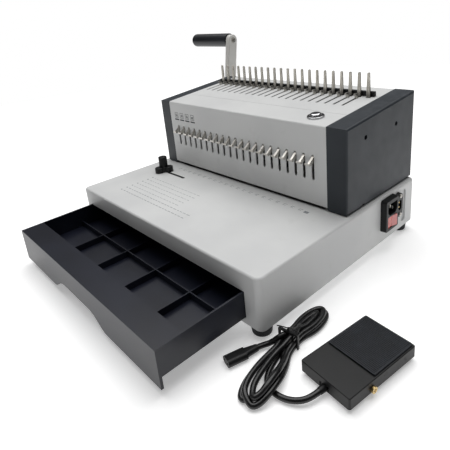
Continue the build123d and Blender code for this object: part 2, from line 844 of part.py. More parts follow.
# Rear opener: a rail under the top panel, its small hooks in the slots, and two side plates.
# Each side plate has a fork for the lever's crank pin and a sloped slot for the front opener's pin.
opener_back = prong_u - 3.5
opener_front = opener_back - 9.0
opener_low = 12.0
opener_high = 3.0
hook_height = 6.5
hook_depth = 4.0
fork_slot = 2 * pin_radius + 2.4
crank_rest_y = lever_y + crank_radius * sin(radians(crank_lean))
crank_rest_z = lever_z + crank_radius * cos(radians(crank_lean))
comb_play = 1.35
link_high = top_z(prong_u) - prong_root - prong_rail_depth - comb_play
link_low = 169.0
link_front = 38.0
link_back = 86.0
link_foot = 152.0
fork_foot = 153.0
fork_wall = 10.0
front_pin_y = 46.0
front_pin_z = 177.0
opener_drop = opener_travel * head_rise / head_depth
with BuildPart() as rear_opener:
    with BuildSketch(on_top(0, 0).offset(-opener_high)):
        patch(-fork_x - fork_thickness / 2, fork_x + fork_thickness / 2, opener_front, opener_back)
    extrude(amount=-(opener_low - opener_high))
    for x in prong_places[:slot_count]:
        with BuildSketch(across(x - hook_thickness / 2)):
            hook_y = opener_back - 1.5
            hook_z = top_z(hook_y)
            Polygon(
                (hook_y, hook_z - opener_high - 1),
                (hook_y, hook_z + hook_height),
                (hook_y - hook_depth - 2.5, hook_z + hook_height),
                (hook_y - hook_depth - 2.5, hook_z + hook_height - 2),
                (hook_y - hook_depth, hook_z + hook_height - 2.5),
                (hook_y - hook_depth, hook_z - opener_high - 1.3),
                align=None,
            )
        extrude(amount=hook_thickness)
    for x in (-fork_x, fork_x):
        with BuildSketch(across(x - fork_thickness / 2)):
            Polygon(
                (link_front, link_foot),
                (link_front, link_high),
                (opener_front, link_high),
                (opener_front, top_z(opener_front) - opener_low + 3),
                (opener_back, top_z(opener_back) - opener_low + 3),
                (opener_back, link_high),
                (crank_rest_y + fork_wall, link_high),
                (crank_rest_y + fork_wall, fork_foot),
                (crank_rest_y - fork_wall, fork_foot),
                (crank_rest_y - fork_wall, link_low),
                (link_back, link_low),
                (link_back, link_foot),
                align=None,
            )
            patch(crank_rest_y - fork_slot / 2, crank_rest_y + fork_slot / 2, 150, 170, mode=Mode.SUBTRACT)
            with BuildLine():
                sloped = Line(
                    (front_pin_y, front_pin_z),
                    (front_pin_y + opener_travel, front_pin_z - front_travel + opener_drop),
                )
            SlotArc(sloped, 2 * pin_radius + 0.8, mode=Mode.SUBTRACT)
        extrude(amount=fork_thickness)
rear_opener.part.label = "rear_opener"
export_step(rear_opener.part, "parts/rear_opener.step")

# Front opener: a rail behind the front panel with a bent hook through each slot,
# and an arm at each end whose pin rides in the rear opener's sloped slot.
rail_front = sheet + 1.0
rail_back = rail_front + 3.0
rail_low = 156.0
rail_high = 170.0
hook_strip = 3.2
hook_out = 9.0
hook_tip = 4.5
front_arm_half = 1.5
front_arm_eye = 6.0
arm_x = fork_x + fork_thickness / 2 + slide_gap + front_arm_half
with BuildPart() as front_opener:
    with BuildSketch(facing(rail_front)):
        patch(-arm_x - front_arm_half, arm_x + front_arm_half, rail_low, rail_high)
    extrude(amount=-(rail_back - rail_front))
    for x in slot_places:
        with BuildSketch(across(x - hook_strip / 2)):
            Polygon(
                (rail_back, rail_low + 1),
                (rail_back, 148),
                (-hook_out + 2.5, 139.5),
                (-hook_out, 141),
                (-hook_out, 143.5),
                (rail_front - 0.6, 151.5),
                (rail_front, rail_low + 1),
                align=None,
            )
        extrude(amount=hook_strip)
        with BuildSketch(across(x - hook_strip / 2)):
            Polygon(
                (-hook_out + 2.5, 139.5),
                (-hook_out, 141),
                (-hook_out, 143.5),
                (-hook_out + 2.6, 142),
                align=None,
            )
        extrude(amount=-hook_tip)
    for x in (-arm_x, arm_x):
        with BuildSketch(across(x - front_arm_half)):
            patch(rail_front, front_pin_y + front_arm_eye, rail_high - 3, front_pin_z + front_arm_eye)
            with Locations((front_pin_y, front_pin_z)):
                Circle(front_arm_eye)
        extrude(amount=2 * front_arm_half)
    for x, inward in ((-arm_x, 1), (arm_x, -1)):
        with BuildSketch(across(x)):
            with Locations((front_pin_y, front_pin_z)):
                Circle(pin_radius)
        extrude(amount=inward * (front_arm_half + slide_gap + fork_thickness + 1))
front_opener.part.label = "front_opener"
export_step(front_opener.part, "parts/front_opener.step")

# ---------------------------------------------------------------- lever
# Lever shaft with two cranks whose pins work in the rear opener's forks.
crank_thickness = 5.0
with BuildPart() as lever_shaft:
    with BuildSketch(across(arm_outside + 1)):
        with Locations((lever_y, lever_z)):
            Circle(lever_shaft_radius)
    extrude(amount=panel_right + 2 - arm_outside - 1)
    for x, outward in ((-crank_x, -1), (crank_x, 1)):
        with BuildSketch(across(x - crank_thickness / 2)):
            with Locations((lever_y, lever_z)):
                Circle(12)
            with BuildLine():
                crank_line = Line((lever_y, lever_z), (crank_rest_y, crank_rest_z))
            SlotArc(crank_line, 11)
        extrude(amount=crank_thickness)
        with BuildSketch(across(x)):
            with Locations((crank_rest_y, crank_rest_z)):
                Circle(pin_radius)
        extrude(amount=outward * (fork_x + fork_thickness / 2 + 1 - crank_x))
lever_shaft.part.label = "lever_shaft"
export_step(lever_shaft.part, "parts/lever_shaft.step")

# Cranked arm outside the left cover, with a counterbore for the grip's bolt.
bolt_radius = 3.0
bolt_head_radius = 5.0
bolt_head_height = 3.0
bolt_head_play = 0.5
bolt_seat = 5.0
bolt_share = 0.8
with BuildPart() as lever_arm:
    with BuildSketch(across(arm_outside)):
        with BuildLine():
            low_run = Line((lever_y, lever_z), (knee_y, knee_z))
        SlotArc(low_run, arm_width)
        with BuildLine():
            high_run = Line((knee_y, knee_z), (grip_y, grip_z))
        SlotArc(high_run, arm_width)
        with Locations((lever_y, lever_z)):
            Circle(arm_width / 2 + 3)
    extrude(amount=arm_thickness)
    fillet(lever_arm.faces().sort_by(Axis.X)[-1].edges(), 1.5)
    fillet(lever_arm.faces().sort_by(Axis.X)[0].edges(), 1.5)
    with BuildSketch(across(arm_outside)):
        with Locations((lever_y, lever_z)):
            Circle(lever_shaft_radius)
        with Locations((grip_y, grip_z)):
            Circle(bolt_radius)
    extrude(amount=arm_thickness, mode=Mode.SUBTRACT)
    with BuildSketch(across(arm_outside + arm_thickness)):
        with Locations((grip_y, grip_z)):
            Circle(bolt_head_radius + bolt_head_play)
    extrude(amount=-bolt_seat, mode=Mode.SUBTRACT)
lever_arm.part.label = "lever_arm"
export_step(lever_arm.part, "parts/lever_arm.step")

# Hub cap over the shaft's end, pressed into the arm's hole.
with BuildPart() as lever_cap:
    with BuildSketch(across(arm_outside)):
        with Locations((lever_y, lever_z)):
            Circle(arm_width / 2)
    extrude(amount=-2.5)
    fillet(lever_cap.faces().sort_by(Axis.X)[0].edges(), 1.2)
    with BuildSketch(across(arm_outside)):
        with Locations((lever_y, lever_z)):
            Circle(lever_shaft_radius - 0.2)
    extrude(amount=1)
lever_cap.part.label = "lever_cap"
export_step(lever_cap.part, "parts/lever_cap.step")

# Moulded grip, bored for its bolt.
with BuildPart() as lever_grip:
    with BuildSketch(across(arm_outside)):
        with Locations((grip_y, grip_z)):
            Circle(grip_radius)
    extrude(amount=-(grip_length + arm_gap))
    fillet(lever_grip.faces().sort_by(Axis.X)[0].edges(), 8)
    fillet(lever_grip.faces().sort_by(Axis.X)[-1].edges(), 1)
    with BuildSketch(across(arm_outside)):
        with Locations((grip_y, grip_z)):
            Circle(bolt_radius)
    extrude(amount=-grip_length * bolt_share, mode=Mode.SUBTRACT)
lever_grip.part.label = "lever_grip"
export_step(lever_grip.part, "parts/lever_grip.step")

# Shoulder bolt through arm and grip, its head in the arm's counterbore.
with BuildPart() as grip_bolt:
    with BuildSketch(across(arm_outside + arm_thickness - bolt_seat)):
        with Locations((grip_y, grip_z)):
            Circle(bolt_radius)
    extrude(amount=-(arm_thickness - bolt_seat + grip_length * bolt_share))
    with BuildSketch(across(arm_outside + arm_thickness - bolt_seat)):
        with Locations((grip_y, grip_z)):
            Circle(bolt_head_radius)
    extrude(amount=bolt_head_height)
    with BuildSketch(across(arm_outside + arm_thickness - bolt_seat + bolt_head_height)):
        with Locations((grip_y, grip_z)):
            RegularPolygon(2.5, 6)
    extrude(amount=-2, mode=Mode.SUBTRACT)
grip_bolt.part.label = "grip_bolt"
export_step(grip_bolt.part, "parts/grip_bolt.step")

# ---------------------------------------------------------------- edge guide
# Moulded block that stands on the deck with a tongue down through the slot.
tongue_play = 0.3
stud_radius = 2.5
with BuildPart() as guide_block:
    with BuildSketch(level(deck + 0.2)):
        with Locations((guide_x, guide_y)):
            Circle(guide_reach)
            with PolarLocations(guide_reach, 3, start_angle=30):
                Circle(guide_lobe)
    extrude(amount=guide_base_height - 0.2)
    fillet(guide_block.faces().sort_by(Axis.Z)[-1].edges(), 1.2)
    with BuildSketch(level(deck - sheet - 0.5)):
        with Locations((guide_x, guide_y)):
            Rectangle(12, guide_slot_width - 2 * tongue_play)
    extrude(amount=sheet + 1)
    with BuildSketch(level(deck + guide_base_height)):
        with Locations((guide_x, guide_y)):
            Circle(stud_radius + shaft_play)
    extrude(amount=-20, mode=Mode.SUBTRACT)
guide_block.part.label = "guide_block"
export_step(guide_block.part, "parts/guide_block.step")

# Clamping knob with a fluted grip, its stud down through the block.
stud_length = 16.0
with BuildPart() as guide_knob:
    with BuildSketch(level(deck + guide_base_height + 0.2)):
        with Locations((guide_x, guide_y)):
            Circle(knob_radius)
    extrude(amount=knob_height - 0.2)
    fillet(guide_knob.faces().sort_by(Axis.Z)[-1].edges(), 1)
    with BuildSketch(level(deck + guide_base_height + 3)):
        with Locations((guide_x, guide_y)):
            with PolarLocations(knob_radius + 0.4, 12):
                Circle(0.9)
    extrude(amount=knob_height, mode=Mode.SUBTRACT)
    with BuildSketch(level(deck + guide_base_height + 0.2)):
        with Locations((guide_x, guide_y)):
            Circle(stud_radius)
    extrude(amount=-stud_length)
guide_knob.part.label = "guide_knob"
export_step(guide_knob.part, "parts/guide_knob.step")

# Square nut plate under the deck.
with BuildPart() as guide_nut:
    with BuildSketch(level(deck - sheet - 0.8)):
        with Locations((guide_x, guide_y)):
            RectangleRounded(22, 14, 2)
            Circle(stud_radius + shaft_play, mode=Mode.SUBTRACT)
    extrude(amount=-3)
guide_nut.part.label = "guide_nut"
export_step(guide_nut.part, "parts/guide_nut.step")

# ---------------------------------------------------------------- punch button
# Plated bezel in the front panel, a domed button in it and a switch block underneath.
button_play = 0.3
collar_wall = 1.3
collar_depth = 9.0
switch_height = 14.0
with BuildPart() as button_bezel:
    with BuildSketch(on_top(button_x, button_y)):
        Circle(bezel_radius)
        Circle(button_radius + button_play, mode=Mode.SUBTRACT)
    extrude(amount=2.4)
    rims = button_bezel.edges().filter_by(GeomType.CIRCLE).sort_by(SortBy.RADIUS)[-2:]
    fillet(rims.sort_by(Axis.Z)[-1], 1.2)
    with BuildSketch(on_top(button_x, button_y)):
        Circle(button_radius + collar_wall)
        Circle(button_radius + button_play, mode=Mode.SUBTRACT)
    extrude(amount=-collar_depth)
button_bezel.part.label = "button_bezel"
export_step(button_bezel.part, "parts/button_bezel.step")

with BuildPart() as punch_button:
    with BuildSketch(on_top(button_x, button_y).offset(-5)):
        Circle(button_radius)
    extrude(amount=10.5)
    fillet(punch_button.faces().sort_by(Axis.Z)[-1].edges(), 3.5)
punch_button.part.label = "punch_button"
export_step(punch_button.part, "parts/punch_button.step")

with BuildPart() as button_switch:
    with BuildSketch(on_top(button_x, button_y).offset(-collar_depth)):
        Circle(button_radius + collar_wall)
    extrude(amount=-switch_height)
    with BuildSketch(on_top(button_x, button_y).offset(-collar_depth - switch_height)):
        with GridLocations(6, 6, 2, 2):
            Rectangle(2.8, 0.8)
    extrude(amount=-6)
button_switch.part.label = "button_switch"
export_step(button_switch.part, "parts/button_switch.step")

# ---------------------------------------------------------------- power inlet and pedal socket
side_wall = base_width / 2
inlet_middle = inlet_y + inlet_width / 2
inlet_back = side_wall + inlet_stand - 25
cavity_low = inlet_high - 23
cavity_high = inlet_high - 6
cavity_half = 12.0
cavity_cut = 5.0
cavity_depth = 18.0
rocker_play = 0.4
rocker_middle = inlet_low + 13
rocker_half = 8.0
rocker_width = 22.0
with BuildPart() as power_inlet:
    with BuildSketch(across(side_wall)):
        with Locations((inlet_middle, (inlet_low + inlet_high) / 2)):
            RectangleRounded(inlet_width, inlet_high - inlet_low, 3)
    extrude(amount=inlet_stand, taper=4)
    fillet(power_inlet.faces().sort_by(Axis.X)[-1].edges(), 1)
    with BuildSketch(across(side_wall)):
        patch(inlet_y + 3, inlet_y + inlet_width - 3, inlet_low + 3.5, inlet_high - 8.5)
    extrude(amount=-(side_wall - inlet_back))
    # inlet well with two cut corners at the bottom
    with BuildSketch(across(side_wall + inlet_stand)):
        with BuildLine():
            Polyline(
                (inlet_middle - cavity_half, cavity_high),
                (inlet_middle + cavity_half, cavity_high),
                (inlet_middle + cavity_half, cavity_low + cavity_cut),
                (inlet_middle + cavity_half - cavity_cut, cavity_low),
                (inlet_middle - cavity_half + cavity_cut, cavity_low),
                (inlet_middle - cavity_half, cavity_low + cavity_cut),
                close=True,
            )
        make_face()
    extrude(amount=-cavity_depth, mode=Mode.SUBTRACT)
    with BuildSketch(across(side_wall + inlet_stand)):
        patch(
            inlet_middle - rocker_width / 2 - rocker_play,
            inlet_middle + rocker_width / 2 + rocker_play,
            rocker_middle - rocker_half - rocker_play,
            rocker_middle + rocker_half + rocker_play,
        )
    extrude(amount=-14, mode=Mode.SUBTRACT)
power_inlet.part.label = "power_inlet"
export_step(power_inlet.part, "parts/power_inlet.step")

# Three flat contact blades.
with BuildPart() as inlet_blades:
    with BuildSketch(across(side_wall + inlet_stand - cavity_depth)):
        for dy, dz in ((-7, 6), (7, 6), (0, 10.5)):
            patch(inlet_middle + dy - 1, inlet_middle + dy + 1, cavity_low + dz - 2, cavity_low + dz + 2)
    extrude(amount=14)
inlet_blades.part.label = "inlet_blades"
export_step(inlet_blades.part, "parts/inlet_blades.step")

# Rocker: a wide wedge that tips about an upright pin, with its front half pressed in.
rocker_axis_x = side_wall + inlet_stand - 5.5
rocker_tip = radians(8)
rocker_long = rocker_width / 2 - rocker_play
pin_proud = 0.3
with BuildPart() as rocker_switch:
    with BuildSketch(
        Plane(
            origin=(machine_x + rocker_axis_x, machine_y + inlet_middle, rocker_middle - rocker_half),
            x_dir=(cos(rocker_tip), -sin(rocker_tip), 0),
            z_dir=(0, 0, 1),
        )
    ):
        Polygon(
            (-4.5, -8),
            (3.6, -rocker_long),
            (6.0, -rocker_long + 0.4),
            (4.6, 0),
            (6.0, rocker_long - 0.4),
            (3.6, rocker_long),
            (-4.5, 8),
            align=None,
        )
    extrude(amount=2 * rocker_half)
    # its two trunnions
    with BuildSketch(level(rocker_middle - rocker_half - pin_proud)):
        with Locations((rocker_axis_x, inlet_middle)):
            Circle(1.2)
    extrude(amount=2 * (rocker_half + pin_proud))
rocker_switch.part.label = "rocker_switch"
export_step(rocker_switch.part, "parts/rocker_switch.step")

# Oblong two-pin socket for the pedal's lead.
socket_middle = socket_y + socket_width / 2
socket_centre = (socket_low + socket_high) / 2
socket_depth = 9.0
with BuildPart() as pedal_socket:
    with BuildSketch(across(side_wall)):
        with Locations((socket_middle, socket_centre)):
            SlotOverall(socket_high - socket_low, socket_width, rotation=90)
    extrude(amount=socket_stand)
    fillet(pedal_socket.faces().sort_by(Axis.X)[-1].edges(), 0.8)
    with BuildSketch(across(side_wall)):
        patch(socket_y + 3.5, socket_y + socket_width - 3.5, socket_low + 7.5, socket_high - 7.5)
    extrude(amount=-12)
    with BuildSketch(across(side_wall + socket_stand)):
        with Locations((socket_middle, socket_centre)):
            SlotOverall(15.5, 8.5, rotation=90)
    extrude(amount=-socket_depth, mode=Mode.SUBTRACT)
    with BuildSketch(across(side_wall + socket_stand)):
        with Locations((socket_middle, socket_low + 4), (socket_middle, socket_high - 4)):
            Circle(1.5)
    extrude(amount=-socket_stand, mode=Mode.SUBTRACT)
pedal_socket.part.label = "pedal_socket"
export_step(pedal_socket.part, "parts/pedal_socket.step")

with BuildPart() as socket_pins:
    with BuildSketch(across(side_wall + socket_stand - socket_depth)):
        with Locations((socket_middle, socket_centre - 3.5), (socket_middle, socket_centre + 3.5)):
            Circle(1.2)
    extrude(amount=socket_depth - 1.5)
socket_pins.part.label = "socket_pins"
export_step(socket_pins.part, "parts/socket_pins.step")

with BuildPart() as socket_screws:
    with BuildSketch(across(side_wall + socket_stand)):
        with Locations((socket_middle, socket_low + 4), (socket_middle, socket_high - 4)):
            Circle(2.8)
    extrude(amount=1.8)
    fillet(socket_screws.faces().sort_by(Axis.X)[-2:].edges(), 0.8)
    with BuildSketch(across(side_wall + socket_stand)):
        with Locations((socket_middle, socket_low + 4), (socket_middle, socket_high - 4)):
            Circle(1.45)
    extrude(amount=-socket_stand)
    with BuildSketch(across(side_wall + socket_stand + 1.8)):
        with Locations((socket_middle, socket_low + 4), (socket_middle, socket_high - 4)):
            Rectangle(3.4, 0.7)
            Rectangle(0.7, 3.4)
    extrude(amount=-1, mode=Mode.SUBTRACT)
socket_screws.part.label = "socket_screws"
export_step(socket_screws.part, "parts/socket_screws.step")

# Control board on four spacers, behind the drawer.
board_left = -150.0
board_right = -20.0
board_front = 102.0
board_back = 146.0
with BuildPart() as board_spacers:
    with BuildSketch(level(plate_top)):
        with Locations(((board_left + board_right) / 2, (board_front + board_back) / 2)):
            with GridLocations(board_right - board_left - 10, board_back - board_front - 10, 2, 2):
                RegularPolygon(3, 6)
    extrude(amount=8)
board_spacers.part.label = "board_spacers"
export_step(board_spacers.part, "parts/board_spacers.step")

with BuildPart() as control_board:
    with BuildSketch(level(plate_top + 8)):
        patch(board_left, board_right, board_front, board_back)
    extrude(amount=1.6)
    with BuildSketch(level(plate_top + 9.6)):
        patch(board_left + 12, board_left + 40, board_front + 8, board_front + 34)
        patch(board_left + 50, board_left + 66, board_front + 6, board_front + 26)
        patch(board_left + 74, board_left + 84, board_front + 10, board_front + 36)
    extrude(amount=15)
    with BuildSketch(level(plate_top + 9.6)):
        with Locations((board_right - 18, board_front + 14), (board_right - 18, board_front + 30)):
            Circle(6)
    extrude(amount=20)
control_board.part.label = "control_board"
export_step(control_board.part, "parts/control_board.step")

# ---------------------------------------------------------------- foot pedal
# Lower tray of the pedal, with upright ears for the pivot screws.
tray_width = pedal_width - 2 * (pedal_sheet + pedal_gap)
tray_length = pedal_length - 2 * (pedal_sheet + pedal_gap)
with BuildPart() as pedal_base:
    with BuildSketch(pedal_level(0)):
        RectangleRounded(tray_width, tray_length, 2)
    extrude(amount=9.5)
    with BuildSketch(pedal_level(pedal_sheet)):
        RectangleRounded(tray_width - 2 * pedal_sheet, tray_length - 2 * pedal_sheet, 1)
    extrude(amount=9.5, mode=Mode.SUBTRACT)
    with BuildSketch(pedal_level(pedal_sheet)):
        with Locations((0, -tray_length / 2)):
            Rectangle(9, 4)
    extrude(amount=9.5, mode=Mode.SUBTRACT)
    with BuildSketch(pedal_level(pedal_sheet)):
        with Locations((-tray_width / 2 + 2.5, pedal_pivot), (tray_width / 2 - 2.5, pedal_pivot)):
            Rectangle(5, 9)
    extrude(amount=pedal_pivot_z + 4 - pedal_sheet)
    with BuildSketch(pedal_side):
        with Locations((pedal_pivot, pedal_pivot_z)):
            Circle(pivot_screw_radius)
    extrude(amount=2 * tray_width, both=True, mode=Mode.SUBTRACT)
pedal_base.part.label = "pedal_base"
export_step(pedal_base.part, "parts/pedal_base.step")

# Treadle: a folded steel cover over the tray, with a notch for the lead.
with BuildPart() as pedal_treadle:
    with BuildSketch(pedal_level(pedal_skirt)):
        RectangleRounded(pedal_width, pedal_length, 2)
    extrude(amount=pedal_height - pedal_skirt)
    fillet(pedal_treadle.faces().sort_by(Axis.Z)[-1].edges(), 1)
    with BuildSketch(pedal_level(pedal_skirt)):
        RectangleRounded(pedal_width - 2 * pedal_sheet, pedal_length - 2 * pedal_sheet, 1)
    extrude(amount=pedal_height - pedal_sheet - pedal_skirt, mode=Mode.SUBTRACT)
    with BuildSketch(pedal_level(pedal_skirt)):
        with Locations((0, -pedal_length / 2)):
            Rectangle(11, 3 * pedal_sheet)
    extrude(amount=6, mode=Mode.SUBTRACT)
    with BuildSketch(pedal_side):
        with Locations((pedal_pivot, pedal_pivot_z)):
            Circle(pivot_screw_radius + 0.08)
    extrude(amount=2 * pedal_width, both=True, mode=Mode.SUBTRACT)
pedal_treadle.part.label = "pedal_treadle"
export_step(pedal_treadle.part, "parts/pedal_treadle.step")

# Ribbed rubber pad on the treadle's back part.
with BuildPart() as pedal_pad:
    with BuildSketch(pedal_level(pedal_height)):
        with Locations((0, (pad_start + pedal_length / 2 - 2) / 2)):
            RectangleRounded(pedal_width - 4, pedal_length / 2 - 2 - pad_start, 1.5)
    extrude(amount=pad_thickness)
pedal_pad.part.label = "pedal_pad"
export_step(pedal_pad.part, "parts/pedal_pad.step")

# Brass pivot screws, one each side, in the tray's ears.
with BuildPart() as pedal_screws:
    for side in (-1, 1):
        with BuildSketch(pedal_side.offset(side * (pedal_width / 2 + 0.4))):
            with Locations((pedal_pivot, pedal_pivot_z)):
                Circle(3.4)
        extrude(amount=side * 2.2)
        with BuildSketch(pedal_side.offset(side * (pedal_width / 2 + 0.4))):
            with Locations((pedal_pivot, pedal_pivot_z)):
                Circle(pivot_screw_radius)
        extrude(amount=-side * (pedal_width / 2 + 0.4 - tray_width / 2 + 5))
        with BuildSketch(pedal_side.offset(side * (pedal_width / 2 + 2.6))):
            with Locations((pedal_pivot, pedal_pivot_z)):
                Rectangle(5, 0.8)
                Rectangle(0.8, 5)
        extrude(amount=-side, mode=Mode.SUBTRACT)
pedal_screws.part.label = "pedal_screws"
export_step(pedal_screws.part, "parts/pedal_screws.step")

# Microswitch under the treadle's back part.
switch_y = 20.0
with BuildPart() as pedal_switch:
    with BuildSketch(pedal_level(pedal_sheet)):
        with Locations((0, switch_y)):
            Rectangle(10, 20)
    extrude(amount=8)
    with BuildSketch(pedal_level(pedal_sheet + 8)):
        with Locations((0, switch_y - 4)):
            Rectangle(4, 4)
    extrude(amount=1.5)
pedal_switch.part.label = "pedal_switch"
export_step(pedal_switch.part, "parts/pedal_switch.step")

# ---------------------------------------------------------------- pedal lead
# Tapered strain relief in the pedal's front notch.
gland_z = 6.3
tray_front = -tray_length / 2
gland_start = tray_front + 4
with BuildPart() as pedal_gland:
    with BuildSketch(Plane(pedal_point(0, gland_start, gland_z), x_dir=pedal_across, z_dir=pedal_forward)):
        Circle(3.9)
    with BuildSketch(Plane(pedal_point(0, gland_end, gland_z), x_dir=pedal_across, z_dir=pedal_forward)):
        Circle(3.4)
    loft()
pedal_gland.part.label = "pedal_gland"
export_step(pedal_gland.part, "parts/pedal_gland.step")

# The lead lies on the floor in a hank with a tie round its waist: a long lobe to the front
# and a shorter one to the back. It comes out of the pedal and ends in a two-pole connector.
floor_play = 0.2
cord_z = cord_radius + floor_play
waist_x = 219.0
waist_y = -146.0
waist_radius = 10.0
hank_height = 12.6
waist_height = 17.0
front_lobe = (230.5, -189.0, 46.0, 18.0, -74.6)
back_lobe = (217.0, -113.0, 36.0, 14.0, 92.0)
lead_points = [
    pedal_point(0, gland_end, gland_z),
    pedal_point(0, gland_end - 10.5, gland_z),
    Vector(machine_x + 272.5, machine_y - 195.5, 4.9),
    Vector(machine_x + 261.5, machine_y - 201.5, 3.6),
    Vector(machine_x + 249.5, machine_y - 203.0, cord_z),
]
tail_z = 4.6
tail_points = [
    Vector(machine_x + 213.0, machine_y - 155.0, tail_z),
    Vector(machine_x + 206.4, machine_y - 159.6, tail_z),
    Vector(machine_x + 201.9, machine_y - 166.1, tail_z),
    Vector(machine_x + 199.8, machine_y - 173.8, tail_z),
]


def cord_radii(points):
    """Arc radii for a cord's corners, each as large as the two runs beside it allow."""
    radii = []
    for before, at, after in zip(points, points[1:], points[2:]):
        half_turn = radians((at - before).get_angle(after - at)) / 2
        radii.append(0.45 * min((at - before).length, (after - at).length) / tan(half_turn))
    print("cord radii", [round(radius, 1) for radius in radii])
    return radii


with BuildPart() as pedal_lead:
    with BuildLine() as lead_path:
        FilletPolyline(*lead_points, radius=cord_radii(lead_points))
    with BuildSketch(Plane(lead_points[0], z_dir=lead_points[1] - lead_points[0])):
        Circle(cord_radius)
    sweep()
pedal_lead.part.label = "pedal_lead"
export_step(pedal_lead.part, "parts/pedal_lead.step")

with BuildPart() as lead_tail:
    with BuildLine() as tail_path:
        FilletPolyline(*tail_points, radius=cord_radii(tail_points))
    with BuildSketch(Plane(tail_points[0], z_dir=tail_points[1] - tail_points[0])):
        Circle(cord_radius)
    sweep()
lead_tail.part.label = "lead_tail"
export_step(lead_tail.part, "parts/lead_tail.step")

for tube, path in ((pedal_lead, lead_path), (lead_tail, tail_path)):
    length = path.wires()[0].length
    swept = pi * cord_radius**2 * length
    print("cord tube length", round(length, 1), "volume ratio", round(tube.part.volume / swept, 4))

with BuildPart() as lead_hank:
    with BuildSketch(level(0)):
        for x, y, half_long, half_wide, turn in (front_lobe, back_lobe):
            with Locations((x, y)):
                Ellipse(half_long, half_wide, rotation=turn)
    extrude(amount=hank_height)
    with BuildSketch(level(0)):
        with Locations((waist_x, waist_y)):
            Circle(waist_radius)
    extrude(amount=waist_height)
lead_hank.part.label = "lead_hank"
export_step(lead_hank.part, "parts/lead_hank.step")

# Wire tie over the waist.
tie_thickness = 1.6
tie_width = 3.0
with BuildPart() as lead_tie:
    with BuildSketch(level(floor_play)):
        with Locations((waist_x, waist_y)):
            Rectangle(2 * (waist_radius + tie_thickness), tie_width, rotation=10)
    extrude(amount=waist_height + tie_thickness - floor_play)
    with BuildSketch(level(floor_play)):
        with Locations((waist_x, waist_y)):
            Circle(waist_radius)
            Rectangle(2 * waist_radius, 2 * tie_width)
    extrude(amount=waist_height - floor_play, mode=Mode.SUBTRACT)
lead_tie.part.label = "lead_tie"
export_step(lead_tie.part, "parts/lead_tie.step")

# Two-pole connector with a tapered strain relief, flat on the floor.
connector_start = tail_points[-1]
connector_run = (tail_points[-1] - tail_points[-2]).normalized()
connector_flat = Vector(connector_run.Y, -connector_run.X, 0)
relief_length = 14.0
connector_length = 22.0
whole_length = relief_length + connector_length
connector_width = 14.5
connector_height = 8.6
with BuildPart() as lead_connector:
    with BuildSketch(Plane(connector_start, x_dir=connector_flat, z_dir=connector_run)):
        SlotOverall(7.6, 7.4)
    with BuildSketch(
        Plane(connector_start + connector_run * relief_length, x_dir=connector_flat, z_dir=connector_run)
    ):
        SlotOverall(connector_width - 3, connector_height - 0.6)
    loft()
    with BuildSketch(
        Plane(connector_start + connector_run * relief_length, x_dir=connector_flat, z_dir=connector_run)
    ):
        SlotOverall(connector_width, connector_height)
    extrude(amount=connector_length)
    with BuildSketch(
        Plane(connector_start + connector_run * whole_length, x_dir=connector_flat, z_dir=connector_run)
    ):
        with Locations((-3.5, 0), (3.5, 0)):
            Circle(1.4)
    extrude(amount=-10, mode=Mode.SUBTRACT)
lead_connector.part.label = "lead_connector"
export_step(lead_connector.part, "parts/lead_connector.step")
print("machine_x", round(machine_x, 3), "machine_y", round(machine_y, 3))
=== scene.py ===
import math

import bmesh
import bpy
from mathutils import Matrix, Vector


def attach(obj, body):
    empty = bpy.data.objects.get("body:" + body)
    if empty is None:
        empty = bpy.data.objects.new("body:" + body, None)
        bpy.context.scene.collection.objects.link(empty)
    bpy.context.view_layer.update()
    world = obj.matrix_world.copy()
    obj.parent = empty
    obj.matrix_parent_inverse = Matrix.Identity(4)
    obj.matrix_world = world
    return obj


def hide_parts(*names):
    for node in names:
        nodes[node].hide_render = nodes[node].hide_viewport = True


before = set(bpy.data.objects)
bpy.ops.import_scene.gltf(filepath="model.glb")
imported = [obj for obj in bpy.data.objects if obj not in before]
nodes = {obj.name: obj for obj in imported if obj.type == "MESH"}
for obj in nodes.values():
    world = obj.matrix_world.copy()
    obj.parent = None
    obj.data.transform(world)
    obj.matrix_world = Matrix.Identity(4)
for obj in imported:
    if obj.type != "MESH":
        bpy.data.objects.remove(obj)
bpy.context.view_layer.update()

# ---------------------------------------------------------------- Studio
# A pale seamless floor under a large soft box, with a weaker fill from the other side.
# The machine stands on the floor at z = 0, its front to -Y.
machine_x, machine_y = -0.005834, 0.0375


floor_radius, floor_sides, floor_drop = 1.7, 96, 0.0004


def floor_sheet():
    turns = [math.tau * side / floor_sides for side in range(floor_sides)]
    rim = [(floor_radius * math.cos(turn), floor_radius * math.sin(turn), -floor_drop) for turn in turns]
    mesh = bpy.data.meshes.new("studio_floor")
    mesh.from_pydata(rim, [], [tuple(range(floor_sides))])
    sheet = bpy.data.objects.new("studio_floor", mesh)
    bpy.context.scene.collection.objects.link(sheet)
    paper = bpy.data.materials.new("studio_paper")
    paper.use_nodes = True
    shader = paper.node_tree.nodes["Principled BSDF"]
    shader.inputs["Base Color"].default_value = (0.93, 0.93, 0.93, 1)
    shader.inputs["Roughness"].default_value = 0.9
    shader.inputs["Emission Color"].default_value = (1, 1, 1, 1)
    shader.inputs["Emission Strength"].default_value = 0.34
    mesh.materials.append(paper)


floor_sheet()

room = bpy.data.worlds.new("studio_room")
bpy.context.scene.world = room
room.use_nodes = True
sky = room.node_tree.nodes["Background"]
sky.inputs["Color"].default_value = (1, 1, 1, 1)
seen = room.node_tree.nodes.new("ShaderNodeLightPath")
strength = room.node_tree.nodes.new("ShaderNodeMapRange")
strength.inputs["To Min"].default_value = 0.10
strength.inputs["To Max"].default_value = 1.0
room.node_tree.links.new(seen.outputs["Is Camera Ray"], strength.inputs["Value"])
room.node_tree.links.new(strength.outputs["Result"], sky.inputs["Strength"])
bpy.context.scene.view_settings.view_transform = "Standard"


